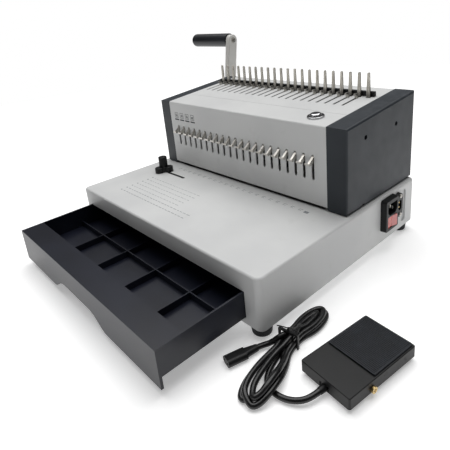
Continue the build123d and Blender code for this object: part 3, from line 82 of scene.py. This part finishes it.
def soft_box(name, place, target, size, power):
    light = bpy.data.lights.new(name, "AREA")
    light.shape = "RECTANGLE"
    light.size, light.size_y = size
    light.energy = power
    box = bpy.data.objects.new(name, light)
    box.location = place
    box.rotation_euler = (Vector(target) - Vector(place)).to_track_quat("-Z", "Y").to_euler()
    bpy.context.scene.collection.objects.link(box)


soft_box("top_light", (-0.4, 0.5, 2.8), (0, 0, 0), (3.6, 3.2), 108)
soft_box("front_light", (-0.9, -2.2, 1.1), (0, 0, 0.1), (1.4, 1.0), 2)

lens_view = bpy.data.cameras.new("catalogue_view")
lens_view.sensor_width = 36
lens_view.lens = 35.13
lens_view.shift_x = -0.0142
lens_view.shift_y = -0.149
lens_view.clip_start = 0.02
camera = bpy.data.objects.new("catalogue_view", lens_view)
right = Vector((0.67477, 0.73256, -0.08967))
up = Vector((-0.18499, 0.28550, 0.94036))
back = Vector((0.71447, -0.61794, 0.32816))
camera.matrix_world = Matrix(
    (
        (right.x, up.x, back.x, 0.46974 + machine_x),
        (right.y, up.y, back.y, -0.41759 + machine_y),
        (right.z, up.z, back.z, 0.25985 + 0.080),
        (0, 0, 0, 1),
    )
)
bpy.context.scene.collection.objects.link(camera)
bpy.context.scene.camera = camera


# ---------------------------------------------------------------- Base and panels
# Folded steel sheet, powder coated light grey: a fine orange peel, a little dust
# and handling gloss.
class Wire:
    """One output in a finish's nodes. Arithmetic on it adds Math nodes."""

    def __init__(self, tree, socket=None):
        self.tree, self.socket = tree, socket

    def node(self, kind, settings=None, inputs=None, out=0):
        made = self.tree.nodes.new(kind)
        for name, value in (settings or {}).items():
            setattr(made, name, value)
        for name, value in (inputs or {}).items():
            if isinstance(value, Wire):
                self.tree.links.new(value.socket, made.inputs[name])
            else:
                made.inputs[name].default_value = value
        return Wire(self.tree, made.outputs[out])

    def math(self, operation, first, second=0.0):
        return self.node("ShaderNodeMath", {"operation": operation}, {0: first, 1: second})

    def __add__(self, other):
        return self.math("ADD", self, other)

    __radd__ = __add__

    def __mul__(self, other):
        return self.math("MULTIPLY", self, other)

    __rmul__ = __mul__

    def __sub__(self, other):
        return self.math("SUBTRACT", self, other)

    def __rsub__(self, other):
        return self.math("SUBTRACT", other, self)

    def band(self, low, high):
        """0 below low, 1 above high, smooth between."""
        return self.node(
            "ShaderNodeMapRange",
            {"interpolation_type": "SMOOTHSTEP"},
            {"Value": self, "From Min": low, "From Max": high},
        )

    def mix(self, share, first, second):
        """Colour first where share is 0 and second where it is 1."""
        return self.node("ShaderNodeMix", {"data_type": "RGBA"}, {0: share, 6: first, 7: second}, out=2)

    def noise(self, scale, detail=4.0, rough=0.5):
        inputs = {"Vector": self, "Scale": scale, "Detail": detail, "Roughness": rough}
        return self.node("ShaderNodeTexNoise", None, inputs)

    def stretched(self, x, y, z):
        return self.node("ShaderNodeMapping", None, {"Vector": self, "Scale": (x, y, z)})

    def axis(self, letter):
        return self.node("ShaderNodeSeparateXYZ", None, {"Vector": self}, out="XYZ".index(letter))

    def link(self, name):
        """Feeds this wire to the finish's shader."""
        self.tree.links.new(self.socket, self.tree.nodes["Principled BSDF"].inputs[name])

    def bump(self, strength, distance):
        self.node(
            "ShaderNodeBump", None, {"Height": self, "Strength": strength, "Distance": distance}
        ).link("Normal")


def finish(name, **constants):
    """A new material with its constants set, and the wire that carries the place on the piece."""
    made = bpy.data.materials.new(name)
    made.use_nodes = True
    for socket, value in constants.items():
        made.node_tree.nodes["Principled BSDF"].inputs[socket.replace("_", " ")].default_value = value
    return made, Wire(made.node_tree).node("ShaderNodeTexCoord", out="Object")


def wear(piece, material):
    """Gives a whole piece one finish."""
    piece.data.materials.clear()
    piece.data.materials.append(material)


def powder_coat(name, light, shade, gloss):
    coat, place = finish(name, Coat_Weight=0.08, Coat_Roughness=0.35)
    cloud = place.noise(9, 3)
    dust = place.noise(42, 5, 0.62)
    tone = place.mix(cloud.band(0.35, 0.7), (*light, 1), (*shade, 1))
    soiled = (light[0] * 0.72, light[1] * 0.71, light[2] * 0.68, 1)
    tone = place.mix(dust.band(0.6, 0.74) * 0.16, tone, soiled)
    tone.link("Base Color")
    rub = place.stretched(1, 6, 6).noise(26, 4, 0.6)
    (gloss + rub * 0.16 + dust * 0.06).link("Roughness")
    (place.noise(900, 2, 0.5) + place.noise(260, 2, 0.5) * 1.4).bump(0.10, 0.0004)
    return coat


panel_coat = powder_coat("panel_powder_coat", (0.66, 0.665, 0.66), (0.60, 0.605, 0.605), 0.34)
for name in ("base_shell", "bottom_plate", "front_panel", "top_panel"):
    wear(nodes[name], panel_coat)


# ---------------------------------------------------------------- Deck and front prints
# Screen-printed grey marks: a rule of small square hooks along the punch line, a plain block
# of ruled lines, and four blank pictograms on the head's front.
def ink(name, tone):
    made, place = finish(name, Roughness=0.55)
    worn = (tone[0] * 1.7, tone[1] * 1.7, tone[2] * 1.7, 1)
    place.mix(place.noise(700, 3).band(0.4, 0.75), (*tone, 1), worn).link("Base Color")
    place.noise(1500, 2).bump(0.05, 0.0001)
    return made


print_ink = ink("print_ink", (0.20, 0.21, 0.22))
dark_ink = ink("print_ink_dark", (0.035, 0.037, 0.042))


def printed(name, patches, height, facing, material, body="machine"):
    """Thin ink patches (two low corners, two high corners) on the deck or on the head's front."""
    mesh = bmesh.new()
    film = 0.00006
    for low_a, low_b, high_a, high_b in patches:
        if facing == "up":
            place = Matrix.Translation(
                (machine_x + (low_a + high_a) / 2, machine_y + (low_b + high_b) / 2, height + film / 2)
            )
            size = (high_a - low_a, high_b - low_b, film)
        else:
            place = Matrix.Translation(
                (machine_x + (low_a + high_a) / 2, machine_y + height - film / 2, (low_b + high_b) / 2)
            )
            size = (high_a - low_a, film, high_b - low_b)
        bmesh.ops.create_cube(mesh, size=1, matrix=place @ Matrix.Diagonal((*size, 1)))
    data = bpy.data.meshes.new(name)
    mesh.to_mesh(data)
    piece = bpy.data.objects.new(name, data)
    bpy.context.scene.collection.objects.link(piece)
    data.materials.append(material)
    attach(piece, body)
    return piece


deck = 0.080
slot_count = 21
rule_start, rule_step = -0.134, 0.01325
rule_marks = []
for step in range(slot_count):
    x = rule_start + step * rule_step
    rule_marks += [
        (x, -0.0150, x + 0.0052, -0.0142),
        (x, -0.0188, x + 0.0008, -0.0150),
        (x + 0.0019, -0.0186, x + 0.0046, -0.0179),
    ]
printed("deck_rule", rule_marks, deck, "up", print_ink)
printed("rule_end_patch", [(0.1405, -0.0205, 0.1475, -0.0155)], deck, "up", print_ink)

ruled_rows, thin_rows = 7, 5
row_start, row_step, row_left = -0.0700, 0.0098, -0.131
dash_short, dash_spread, dash_gap = 0.0040, 0.0028, 0.0022
ruled_lines = []
for row in range(ruled_rows):
    y = row_start - row * row_step
    x = row_left
    thin = row < thin_rows
    for word in range(16 if thin else 21):
        length = dash_short + dash_spread * ((word * 5 + row * 3) % 4) / 3
        ruled_lines.append((x, y, x + length, y + (0.0007 if thin else 0.0010)))
        x += length + dash_gap
    ruled_lines.append((-0.1385, y - 0.0006, -0.1355, y + 0.0016))
printed("deck_ruled_lines", ruled_lines, deck, "up", print_ink)

pictogram_count, pictogram_left, pictogram_step = 4, -0.150, 0.0145
pictograms = []
for place in range(pictogram_count):
    x = pictogram_left + place * pictogram_step
    pictograms += [
        (x, 0.1745, x + 0.0092, 0.1751),
        (x, 0.1660, x + 0.0092, 0.1666),
        (x, 0.1660, x + 0.0006, 0.1751),
        (x + 0.0086, 0.1660, x + 0.0092, 0.1751),
        (x + 0.0024, 0.1680, x + 0.0040, 0.1728 - 0.001 * (place % 2)),
        (x + 0.0052, 0.1680, x + 0.0068, 0.1716 + 0.001 * (place % 2)),
        (x - 0.0010, 0.1618, x + 0.0104, 0.1640),
    ]
printed("front_pictograms", pictograms, -0.00001, "front", dark_ink)

# ---------------------------------------------------------------- Side covers
# Deep-drawn end covers in dark slate satin paint, with two countersunk screws each.
# The paint is a shade paler in patches along the top.
slate, place = finish("slate_satin_paint", Coat_Weight=0.05, Coat_Roughness=0.3, Specular_IOR_Level=0.3)
height = place.axis("Z")
# The covers are painted paler in noisy patches towards their top.
pale_top_patches = height.band(0.185, 0.212) * place.stretched(3, 3, 3).noise(30, 4).band(0.42, 0.72)
tone = place.mix(place.noise(14, 4).band(0.3, 0.75), (0.021, 0.026, 0.032, 1), (0.028, 0.034, 0.042, 1))
place.mix(pale_top_patches * 0.35, tone, (0.085, 0.092, 0.105, 1)).link("Base Color")
(0.36 + place.noise(60, 5) * 0.2).link("Roughness")
(place.noise(1100, 2) + place.noise(330, 2)).bump(0.12, 0.0003)
for name in ("left_cover", "right_cover"):
    wear(nodes[name], slate)

# ---------------------------------------------------------------- Chip drawer
# One injection-moulded tray in navy-black plastic, with stiffening ribs on its floor.
# It shows flow shading and fine greyer scratches on the floor.
tray, place = finish("drawer_plastic_moulded", Coat_Weight=0.1, Coat_Roughness=0.22, Specular_IOR_Level=0.35)
scratch = place.stretched(1, 0.12, 1).noise(420, 3, 0.7).band(0.66, 0.72)
flow = place.stretched(1, 2.2, 1).noise(8, 3)
tone = place.mix(flow.band(0.35, 0.7), (0.0045, 0.0055, 0.0115, 1), (0.008, 0.0100, 0.020, 1))
tone = place.mix(scratch * 0.22, tone, (0.07, 0.078, 0.1, 1))
tone.link("Base Color")
(0.30 + flow * 0.14 + scratch * 0.2).link("Roughness")
(place.noise(1400, 2) + scratch * 0.6).bump(0.08, 0.0002)
wear(nodes["chip_drawer"], tray)


# ---------------------------------------------------------------- Comb, openers and other plated steel
# Stamped strip, nickel plated: fine rolling lines, soft mottling and darker handling marks; the comb's prongs
# also get a painted shade at their feet.
def plated(name, tone, dark, line, gloss):
    made, place = finish(name, Metallic=1.0)
    rolling = place.stretched(*line).noise(380, 3, 0.6)
    mottle = place.noise(55, 4)
    place.mix(mottle.band(0.35, 0.75), (*tone, 1), (*dark, 1)).link("Base Color")
    (gloss + rolling * 0.16 + mottle * 0.1).link("Roughness")
    rolling.bump(0.10, 0.0002)
    return made


comb_steel, place = finish("comb_plate", Metallic=1.0)
# Painted shade: the comb's prongs are painted dark towards their feet.
prong_foot_shade = place.axis("Z").band(0.2145, 0.2045)
streak = place.stretched(8, 1, 0.6).noise(120, 3)
tone = place.mix(streak.band(0.35, 0.7), (0.66, 0.63, 0.57, 1), (0.36, 0.34, 0.30, 1))
place.mix(prong_foot_shade * 0.8, tone, (0.085, 0.082, 0.078, 1)).link("Base Color")
(0.2 + streak * 0.16).link("Roughness")
place.stretched(1, 1, 0.05).noise(380, 3).bump(0.1, 0.0002)
wear(nodes["prong_comb"], comb_steel)

nickel = plated("nickel_plate", (0.62, 0.60, 0.56), (0.43, 0.41, 0.37), (1, 1, 0.05), 0.22)
ground_steel = plated("ground_tool_steel", (0.42, 0.42, 0.43), (0.30, 0.30, 0.31), (0.05, 1, 1), 0.3)
for name in (
    "rear_opener",
    "front_opener",
    "punch_ram",
    "paper_stop",
    "left_frame",
    "right_frame",
    "tie_bars",
    "drawer_runners",
    "lever_shaft",
    "lever_cap",
    "grip_bolt",
    "guide_nut",
    "foot_screws",
    "cover_screws",
    "inlet_blades",
    "socket_screws",
):
    wear(nodes[name], nickel)
for name in ("die_plate", "punch_guide", "punches", "ram_posts", "eccentric_shaft"):
    wear(nodes[name], ground_steel)


# ---------------------------------------------------------------- Black mouldings
# Small moulded parts with a spark-eroded grain: backing strip, guide, inlet, socket and switches.
def moulded_black(name, tone, gloss, grain):
    made, place = finish(name, Specular_IOR_Level=0.3)
    cloud = place.noise(60, 4)
    deep = (tone, tone * 1.02, tone * 1.08, 1)
    pale = (tone * 1.6, tone * 1.65, tone * 1.8, 1)
    place.mix(cloud.band(0.3, 0.8), deep, pale).link("Base Color")
    (gloss + cloud * 0.14).link("Roughness")
    (place.noise(1700, 2) + place.noise(600, 2) * 0.5).bump(grain, 0.0002)
    return made


black = moulded_black("black_moulding", 0.006, 0.34, 0.2)
strip_black = moulded_black("strip_black", 0.012, 0.5, 0.25)
for name in (
    "guide_block",
    "guide_knob",
    "power_inlet",
    "pedal_socket",
    "button_switch",
    "pedal_switch",
    "pedal_gland",
    "lead_connector",
):
    wear(nodes[name], black)
wear(nodes["backing_strip"], strip_black)

# ---------------------------------------------------------------- Lever
# Die-cast arm in off-white paint, a nickel bolt in its recess, and a dipped black vinyl grip.
cream, place = finish("lever_off_white_paint", Coat_Weight=0.2, Coat_Roughness=0.25)
chip = place.noise(120, 5, 0.65).band(0.7, 0.74)
tone = place.mix(place.noise(20, 3).band(0.3, 0.7), (0.68, 0.67, 0.64, 1), (0.60, 0.59, 0.56, 1))
place.mix(chip * 0.5, tone, (0.34, 0.34, 0.33, 1)).link("Base Color")
(0.32 + place.noise(80, 3) * 0.15).link("Roughness")
(place.noise(700, 2) - chip).bump(0.1, 0.0003)
wear(nodes["lever_arm"], cream)

vinyl, place = finish("grip_vinyl_dipped", Coat_Weight=0.15, Coat_Roughness=0.3, Specular_IOR_Level=0.35)
drips = place.stretched(0.4, 1, 1).noise(30, 3)
place.mix(drips.band(0.35, 0.7), (0.006, 0.007, 0.010, 1), (0.011, 0.0125, 0.017, 1)).link("Base Color")
(0.34 + drips * 0.18).link("Roughness")
(place.noise(900, 2) * 0.5 + drips).bump(0.14, 0.0005)
wear(nodes["lever_grip"], vinyl)

# ---------------------------------------------------------------- Feet and pedal pad
# Moulded rubber, dull and slightly grey with dust.
rubber, place = finish("foot_rubber_moulded", Specular_IOR_Level=0.3)
dust = place.noise(90, 5, 0.6)
place.mix(dust.band(0.45, 0.8), (0.008, 0.009, 0.012, 1), (0.022, 0.023, 0.027, 1)).link("Base Color")
(0.55 + dust * 0.25).link("Roughness")
place.noise(1300, 3).bump(0.25, 0.0003)
wear(nodes["rubber_feet"], rubber)

# ---------------------------------------------------------------- Brass, chrome and the inside
# Turned bearings and pedal screws, the polished button in its ring, castings, nylon and the board.
brass = plated("turned_brass", (0.72, 0.53, 0.24), (0.50, 0.36, 0.15), (0.2, 1, 1), 0.2)
for name in ("lever_bushes", "shaft_bearings", "pedal_screws", "socket_pins"):
    wear(nodes[name], brass)

chrome, place = finish("polished_chrome", Metallic=1.0, Base_Color=(0.50, 0.50, 0.51, 1))
smear = place.noise(160, 5, 0.6)
(0.04 + smear.band(0.5, 0.8) * 0.12).link("Roughness")
smear.bump(0.02, 0.0001)
for name in ("punch_button", "button_bezel"):
    wear(nodes[name], chrome)

casting, place = finish("housing_casting", Metallic=0.6)
place.mix(place.noise(70, 5).band(0.3, 0.8), (0.13, 0.14, 0.15, 1), (0.2, 0.2, 0.2, 1)).link("Base Color")
(0.5 + place.noise(200, 3) * 0.2).link("Roughness")
place.noise(500, 5, 0.6).bump(0.4, 0.0005)
for name in ("gearbox", "motor"):
    wear(nodes[name], casting)

nylon, place = finish("natural_nylon", Roughness=0.5)
place.mix(place.noise(60, 3), (0.62, 0.60, 0.54, 1), (0.72, 0.70, 0.64, 1)).link("Base Color")
place.noise(800, 2).bump(0.1, 0.0002)
wear(nodes["board_spacers"], nylon)

lacquer, place = finish("board_lacquer", Roughness=0.35)
tracks = place.stretched(1, 0.1, 1).noise(260, 1).band(0.48, 0.54)
place.mix(tracks, (0.012, 0.10, 0.045, 1), (0.025, 0.18, 0.08, 1)).link("Base Color")
tracks.bump(0.2, 0.0002)
wear(nodes["control_board"], lacquer)

# ---------------------------------------------------------------- Rocker switch
# Red translucent rocker on its cross pin, with a painted highlight that makes the half facing up paler.
red, place = finish("rocker_red", Coat_Weight=0.6, Coat_Roughness=0.08)
# Painted highlight: the half of the rocker that faces up is painted paler.
side = place.axis("Y").band(0.1240, 0.1250)
tone = place.mix(place.noise(150, 3), (0.50, 0.022, 0.012, 1), (0.64, 0.055, 0.025, 1))
place.mix(side * 0.45, tone, (0.80, 0.42, 0.42, 1)).link("Base Color")
(0.16 + place.noise(220, 4) * 0.14).link("Roughness")
place.noise(500, 2).bump(0.05, 0.0002)
wear(nodes["rocker_switch"], red)

# ---------------------------------------------------------------- Foot pedal
# Pressed steel base and treadle in satin black paint, with a ribbed rubber pad glued on.
pedal_coat, place = finish("pedal_black_paint", Specular_IOR_Level=0.28)
scuff = place.noise(130, 5, 0.62).band(0.6, 0.75)
place.mix(scuff * 0.3, (0.0050, 0.0052, 0.0055, 1), (0.022, 0.022, 0.023, 1)).link("Base Color")
(0.36 + scuff * 0.18 + place.noise(40, 3) * 0.1).link("Roughness")
(place.noise(1200, 2) + place.noise(400, 2)).bump(0.12, 0.0003)
for name in ("pedal_base", "pedal_treadle"):
    wear(nodes[name], pedal_coat)

pad_rubber, place = finish("pad_rubber", Specular_IOR_Level=0.3)
dust = place.noise(80, 4)
place.mix(dust.band(0.4, 0.8), (0.0060, 0.0078, 0.0115, 1), (0.014, 0.017, 0.023, 1)).link("Base Color")
(0.42 + dust * 0.2).link("Roughness")
place.noise(1500, 2).bump(0.15, 0.0002)
wear(nodes["pedal_pad"], pad_rubber)


def row_of(name, stamp, count, start, step, material, body):
    """Repeats one small mesh along a straight row and leaves a plain mesh that rides on a body."""
    tree = bpy.data.node_groups.new(name + "_row", "GeometryNodeTree")
    socket = tree.interface.new_socket
    names = {}
    for label, kind in (
        ("Stamp", "NodeSocketObject"),
        ("Count", "NodeSocketInt"),
        ("Start", "NodeSocketVector"),
        ("Step", "NodeSocketVector"),
        ("Finish", "NodeSocketMaterial"),
    ):
        names[label] = socket(name=label, in_out="INPUT", socket_type=kind).identifier
    socket(name="Geometry", in_out="OUTPUT", socket_type="NodeSocketGeometry")
    given, made = tree.nodes.new("NodeGroupInput"), tree.nodes.new("NodeGroupOutput")
    line = tree.nodes.new("GeometryNodeMeshLine")
    line.mode = "OFFSET"
    source = tree.nodes.new("GeometryNodeObjectInfo")
    copies = tree.nodes.new("GeometryNodeInstanceOnPoints")
    solid = tree.nodes.new("GeometryNodeRealizeInstances")
    coated = tree.nodes.new("GeometryNodeSetMaterial")
    join = tree.links.new
    join(given.outputs["Stamp"], source.inputs["Object"])
    join(given.outputs["Count"], line.inputs["Count"])
    join(given.outputs["Start"], line.inputs["Start Location"])
    join(given.outputs["Step"], line.inputs["Offset"])
    join(given.outputs["Finish"], coated.inputs["Material"])
    join(line.outputs["Mesh"], copies.inputs["Points"])
    join(source.outputs["Geometry"], copies.inputs["Instance"])
    join(copies.outputs["Instances"], solid.inputs["Geometry"])
    join(solid.outputs["Geometry"], coated.inputs["Geometry"])
    join(coated.outputs["Geometry"], made.inputs["Geometry"])
    holder = bpy.data.objects.new(name, bpy.data.meshes.new(name))
    bpy.context.scene.collection.objects.link(holder)
    grower = holder.modifiers.new("row", "NODES")
    grower.node_group = tree
    given_values = {"Stamp": stamp, "Count": count, "Start": start, "Step": step, "Finish": material}
    for label, value in given_values.items():
        grower[names[label]] = value
    bpy.context.view_layer.update()
    plain = bpy.data.meshes.new_from_object(holder.evaluated_get(bpy.context.evaluated_depsgraph_get()))
    holder.modifiers.remove(grower)
    holder.data = plain
    bpy.data.objects.remove(stamp)
    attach(holder, body)
    return holder


# Ribs moulded across the pad, each a low round bar with tapered ends.
pedal_turn = math.radians(-7)
pedal_across = Vector((math.cos(pedal_turn), math.sin(pedal_turn), 0))
pedal_along = Vector((-math.sin(pedal_turn), math.cos(pedal_turn), 0))
pedal_middle = Vector((0.2866 + machine_x, -0.1228 + machine_y, 0))
rib_count, rib_pitch, rib_sides = 27, 0.00205, 6
rib_half_width, rib_height, rib_sink = 0.00072, 0.00062, 0.0001
first_rib, pad_top = -0.0099, 0.0188
rib = bmesh.new()
rib_ring = []
for at, girth in ((-0.0262, 0.15), (-0.0256, 0.8), (-0.0245, 1), (0.0245, 1), (0.0256, 0.8), (0.0262, 0.15)):
    rib_ring.append(
        [
            rib.verts.new(
                pedal_across * at
                + pedal_along * (rib_half_width * girth * math.cos(math.pi * turn / rib_sides))
                + Vector((0, 0, rib_height * girth * math.sin(math.pi * turn / rib_sides) - rib_sink))
            )
            for turn in range(rib_sides + 1)
        ]
    )
for ring, after in zip(rib_ring, rib_ring[1:]):
    for place in range(rib_sides):
        rib.faces.new((ring[place], after[place], after[place + 1], ring[place + 1]))
    rib.faces.new((ring[rib_sides], after[rib_sides], after[0], ring[0]))
rib.faces.new(rib_ring[0])
rib.faces.new(reversed(rib_ring[-1]))
bmesh.ops.recalc_face_normals(rib, faces=rib.faces)
for face in rib.faces:
    face.smooth = True
rib_mesh = bpy.data.meshes.new("pad_rib")
rib.to_mesh(rib_mesh)
rib_stamp = bpy.data.objects.new("pad_rib", rib_mesh)
bpy.context.scene.collection.objects.link(rib_stamp)
rib_step = pedal_along * rib_pitch
row_of(
    "pad_ribs",
    rib_stamp,
    rib_count,
    pedal_middle + pedal_along * first_rib + Vector((0, 0, pad_top)),
    rib_step,
    pad_rubber,
    "treadle",
)

# ---------------------------------------------------------------- Pedal lead
# Thin two-core lead from the pedal, wound into a hank and tied at its waist. It comes out
# of the gland, runs under the hank's right side and ends in the two-pole connector.
vinyl_jacket, place = finish("cord_jacket", Coat_Weight=0.1, Coat_Roughness=0.12, Specular_IOR_Level=0.4)
tone = place.mix(place.noise(140, 3).band(0.3, 0.8), (0.0035, 0.0035, 0.0038, 1), (0.007, 0.007, 0.0075, 1))
tone.link("Base Color")
(0.2 + place.noise(90, 4) * 0.16).link("Roughness")
place.noise(260, 3).bump(0.1, 0.0004)

cord_diameter, cord_length = 0.006, 1.17
crossing_lift = 0.0064
waist = Vector((0.219, -0.146, 0))
front_run, front_side = Vector((0.256, -0.967, 0)), Vector((0.967, 0.256, 0))
back_run, back_side = Vector((-0.040, 0.999, 0)), Vector((0.999, 0.040, 0))
lead_route = [
    (0.28008, -0.17590, 0.0063),
    (0.27880, -0.18632, 0.0063),
    (0.27250, -0.19550, 0.0049),
    (0.26150, -0.20150, 0.0036),
    (0.24950, -0.20300, 0.0032),
    (0.23900, -0.20050, 0.0032),
    (0.23150, -0.19300, 0.0032),
    (0.22650, -0.18100, 0.0032),
    (0.22250, -0.16800, 0.0032),
]
tail_route = [
    (0.2160, -0.1460, 0.0140),
    (0.2135, -0.1530, 0.0132),
    (0.2100, -0.1575, 0.0092),
    (0.2060, -0.1615, 0.0054),
    (0.2022, -0.1668, 0.0046),
    (0.1998, -0.1738, 0.0046),
]
# Along and across each lobe, in millimetres, how far the tie grips it, and its lift over the lead.
going_back = [(84, -8, 0), (75, -13, 0), (61, -15, 0), (45, -14, 0), (30, -11, 0), (17, -8, 0.5), (7, -7, 1)]
round_back = [
    (7, -7, 1, 1), (17, -7.5, 0.5, 1), (29, -10.5, 0, 1), (42, -11, 0, 1), (54, -8.5, 0, 1), (63, -3.5, 0, 1),
    (63.5, 4, 0, 1), (54.5, 9, 0, 1), (42, 11, 0, 1), (29, 10.5, 0, 1), (17, 7.5, 0.5, 1), (7, 7, 1, 1),
]
coming_front = [
    (7, 7, 1, 0), (17, 8, 0.5, 0), (30, 11.5, 0, 0.1), (44, 14.5, 0, 0.6), (54, 15.5, 0, 1), (68, 14.5, 0, 1),
    (79, 10.5, 0, 0.3), (86, 4, 0, 0),
]


def wind(points, wide, long, level, held, back_lobe):
    """One stretch of a turn, in metres: held is its place across and its height in the tie."""
    made = []
    run, side = (back_run, back_side) if back_lobe else (front_run, front_side)
    for along, across, grip, *lift in points:
        over = lift[0] * crossing_lift if lift and not back_lobe else 0
        reach = along * (1 if grip else long) / 1000
        offset = (across * wide * (1 - grip) + held[0] * grip) / 1000
        high = (level * (1 - grip) + held[1] * grip) / 1000 + over
        made.append(waist + run * reach + side * offset + Vector((0, 0, high)))
    return made


hank = wind(round_back[:6], 0.60, 0.93, 3.2, (0, 3.2), True)
hank += wind(round_back[6:], 0.60, 0.93, 3.2, (0.3, 8.8), True)
hank += wind(coming_front, 0.55, 0.88, 3.2, (0.3, 8.8), False)
for wide, long, level, left_held, right_held in (
    (1.00, 1.00, 3.2, (-6.4, 3.2), (6.4, 3.2)),
    (0.78, 0.95, 8.6, (-6.4, 8.8), (6.4, 8.9)),
):
    hank += wind(going_back, wide, long, level, left_held, False)
    hank += wind(round_back[:6], wide, long, level, left_held, True)
    hank += wind(round_back[6:], wide, long, level, right_held, True)
    hank += wind(coming_front, wide, long, level, right_held, False)
hank += wind(going_back, 0.30, 0.84, 8.6, (3.2, 14.0), False)
hank += wind(round_back[:6], 0.30, 0.80, 8.6, (3.2, 14.0), True)
hank += wind(round_back[6:-2], 0.30, 0.80, 9.6, (-3.2, 14.2), True)

line = bpy.data.curves.new("pedal_cord", "CURVE")
line.dimensions = "3D"
line.bevel_depth = cord_diameter / 2
line.bevel_resolution = 5
line.resolution_u = 5
line.use_fill_caps = True
spline = line.splines.new("NURBS")
lie = Vector((machine_x, machine_y, 0))
route = [Vector(point) + lie for point in lead_route] + [point + lie for point in hank]
route += [Vector(point) + lie for point in tail_route]
spline.points.add(len(route) - 1)
for point, place in zip(spline.points, route):
    point.co = (*place, 1)
spline.order_u = 3
spline.use_endpoint_u = True
cord = bpy.data.objects.new("pedal_cord", line)
bpy.context.scene.collection.objects.link(cord)
line.materials.append(vinyl_jacket)
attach(cord, "machine")
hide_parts("pedal_lead", "lead_hank", "lead_tail")

# The tie's two wire ends, twisted together over the waist and spread into short ears.
tie = nodes["lead_tie"]
tie_top = max((tie.matrix_world @ corner.co).z for corner in tie.data.vertices)
twist_radius, twist_rise, twist_steps = 0.0007, 0.0042, 12
ear_length, ear_drop, wire_radius = 0.0125, 0.0022, 0.00065
ends = bpy.data.curves.new("tie_ends", "CURVE")
ends.dimensions = "3D"
ends.bevel_depth = wire_radius
ends.bevel_resolution = 3
ends.resolution_u = 4
ends.use_fill_caps = True
for turned, ear in ((0.0, -1), (math.pi, 1)):
    wire = []
    for step in range(twist_steps + 1):
        angle = turned + step * math.pi / 3
        ring = front_run * math.cos(angle) + front_side * math.sin(angle)
        height = tie_top + twist_rise * step / twist_steps
        wire.append(waist + lie + ring * twist_radius + Vector((0, 0, height)))
    for share in (0.35, 0.7, 1.0):
        drop = ear_drop * share * share * (1 + 0.4 * ear)
        wire.append(wire[twist_steps] + front_side * ear * ear_length * share - Vector((0, 0, drop)))
    strand = ends.splines.new("NURBS")
    strand.points.add(len(wire) - 1)
    for point, place in zip(strand.points, wire):
        point.co = (*place, 1)
    strand.order_u = 3
    strand.use_endpoint_u = True
tie_ends = bpy.data.objects.new("tie_ends", ends)
bpy.context.scene.collection.objects.link(tie_ends)
ends.materials.append(black)
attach(tie_ends, "machine")

wear(tie, black)
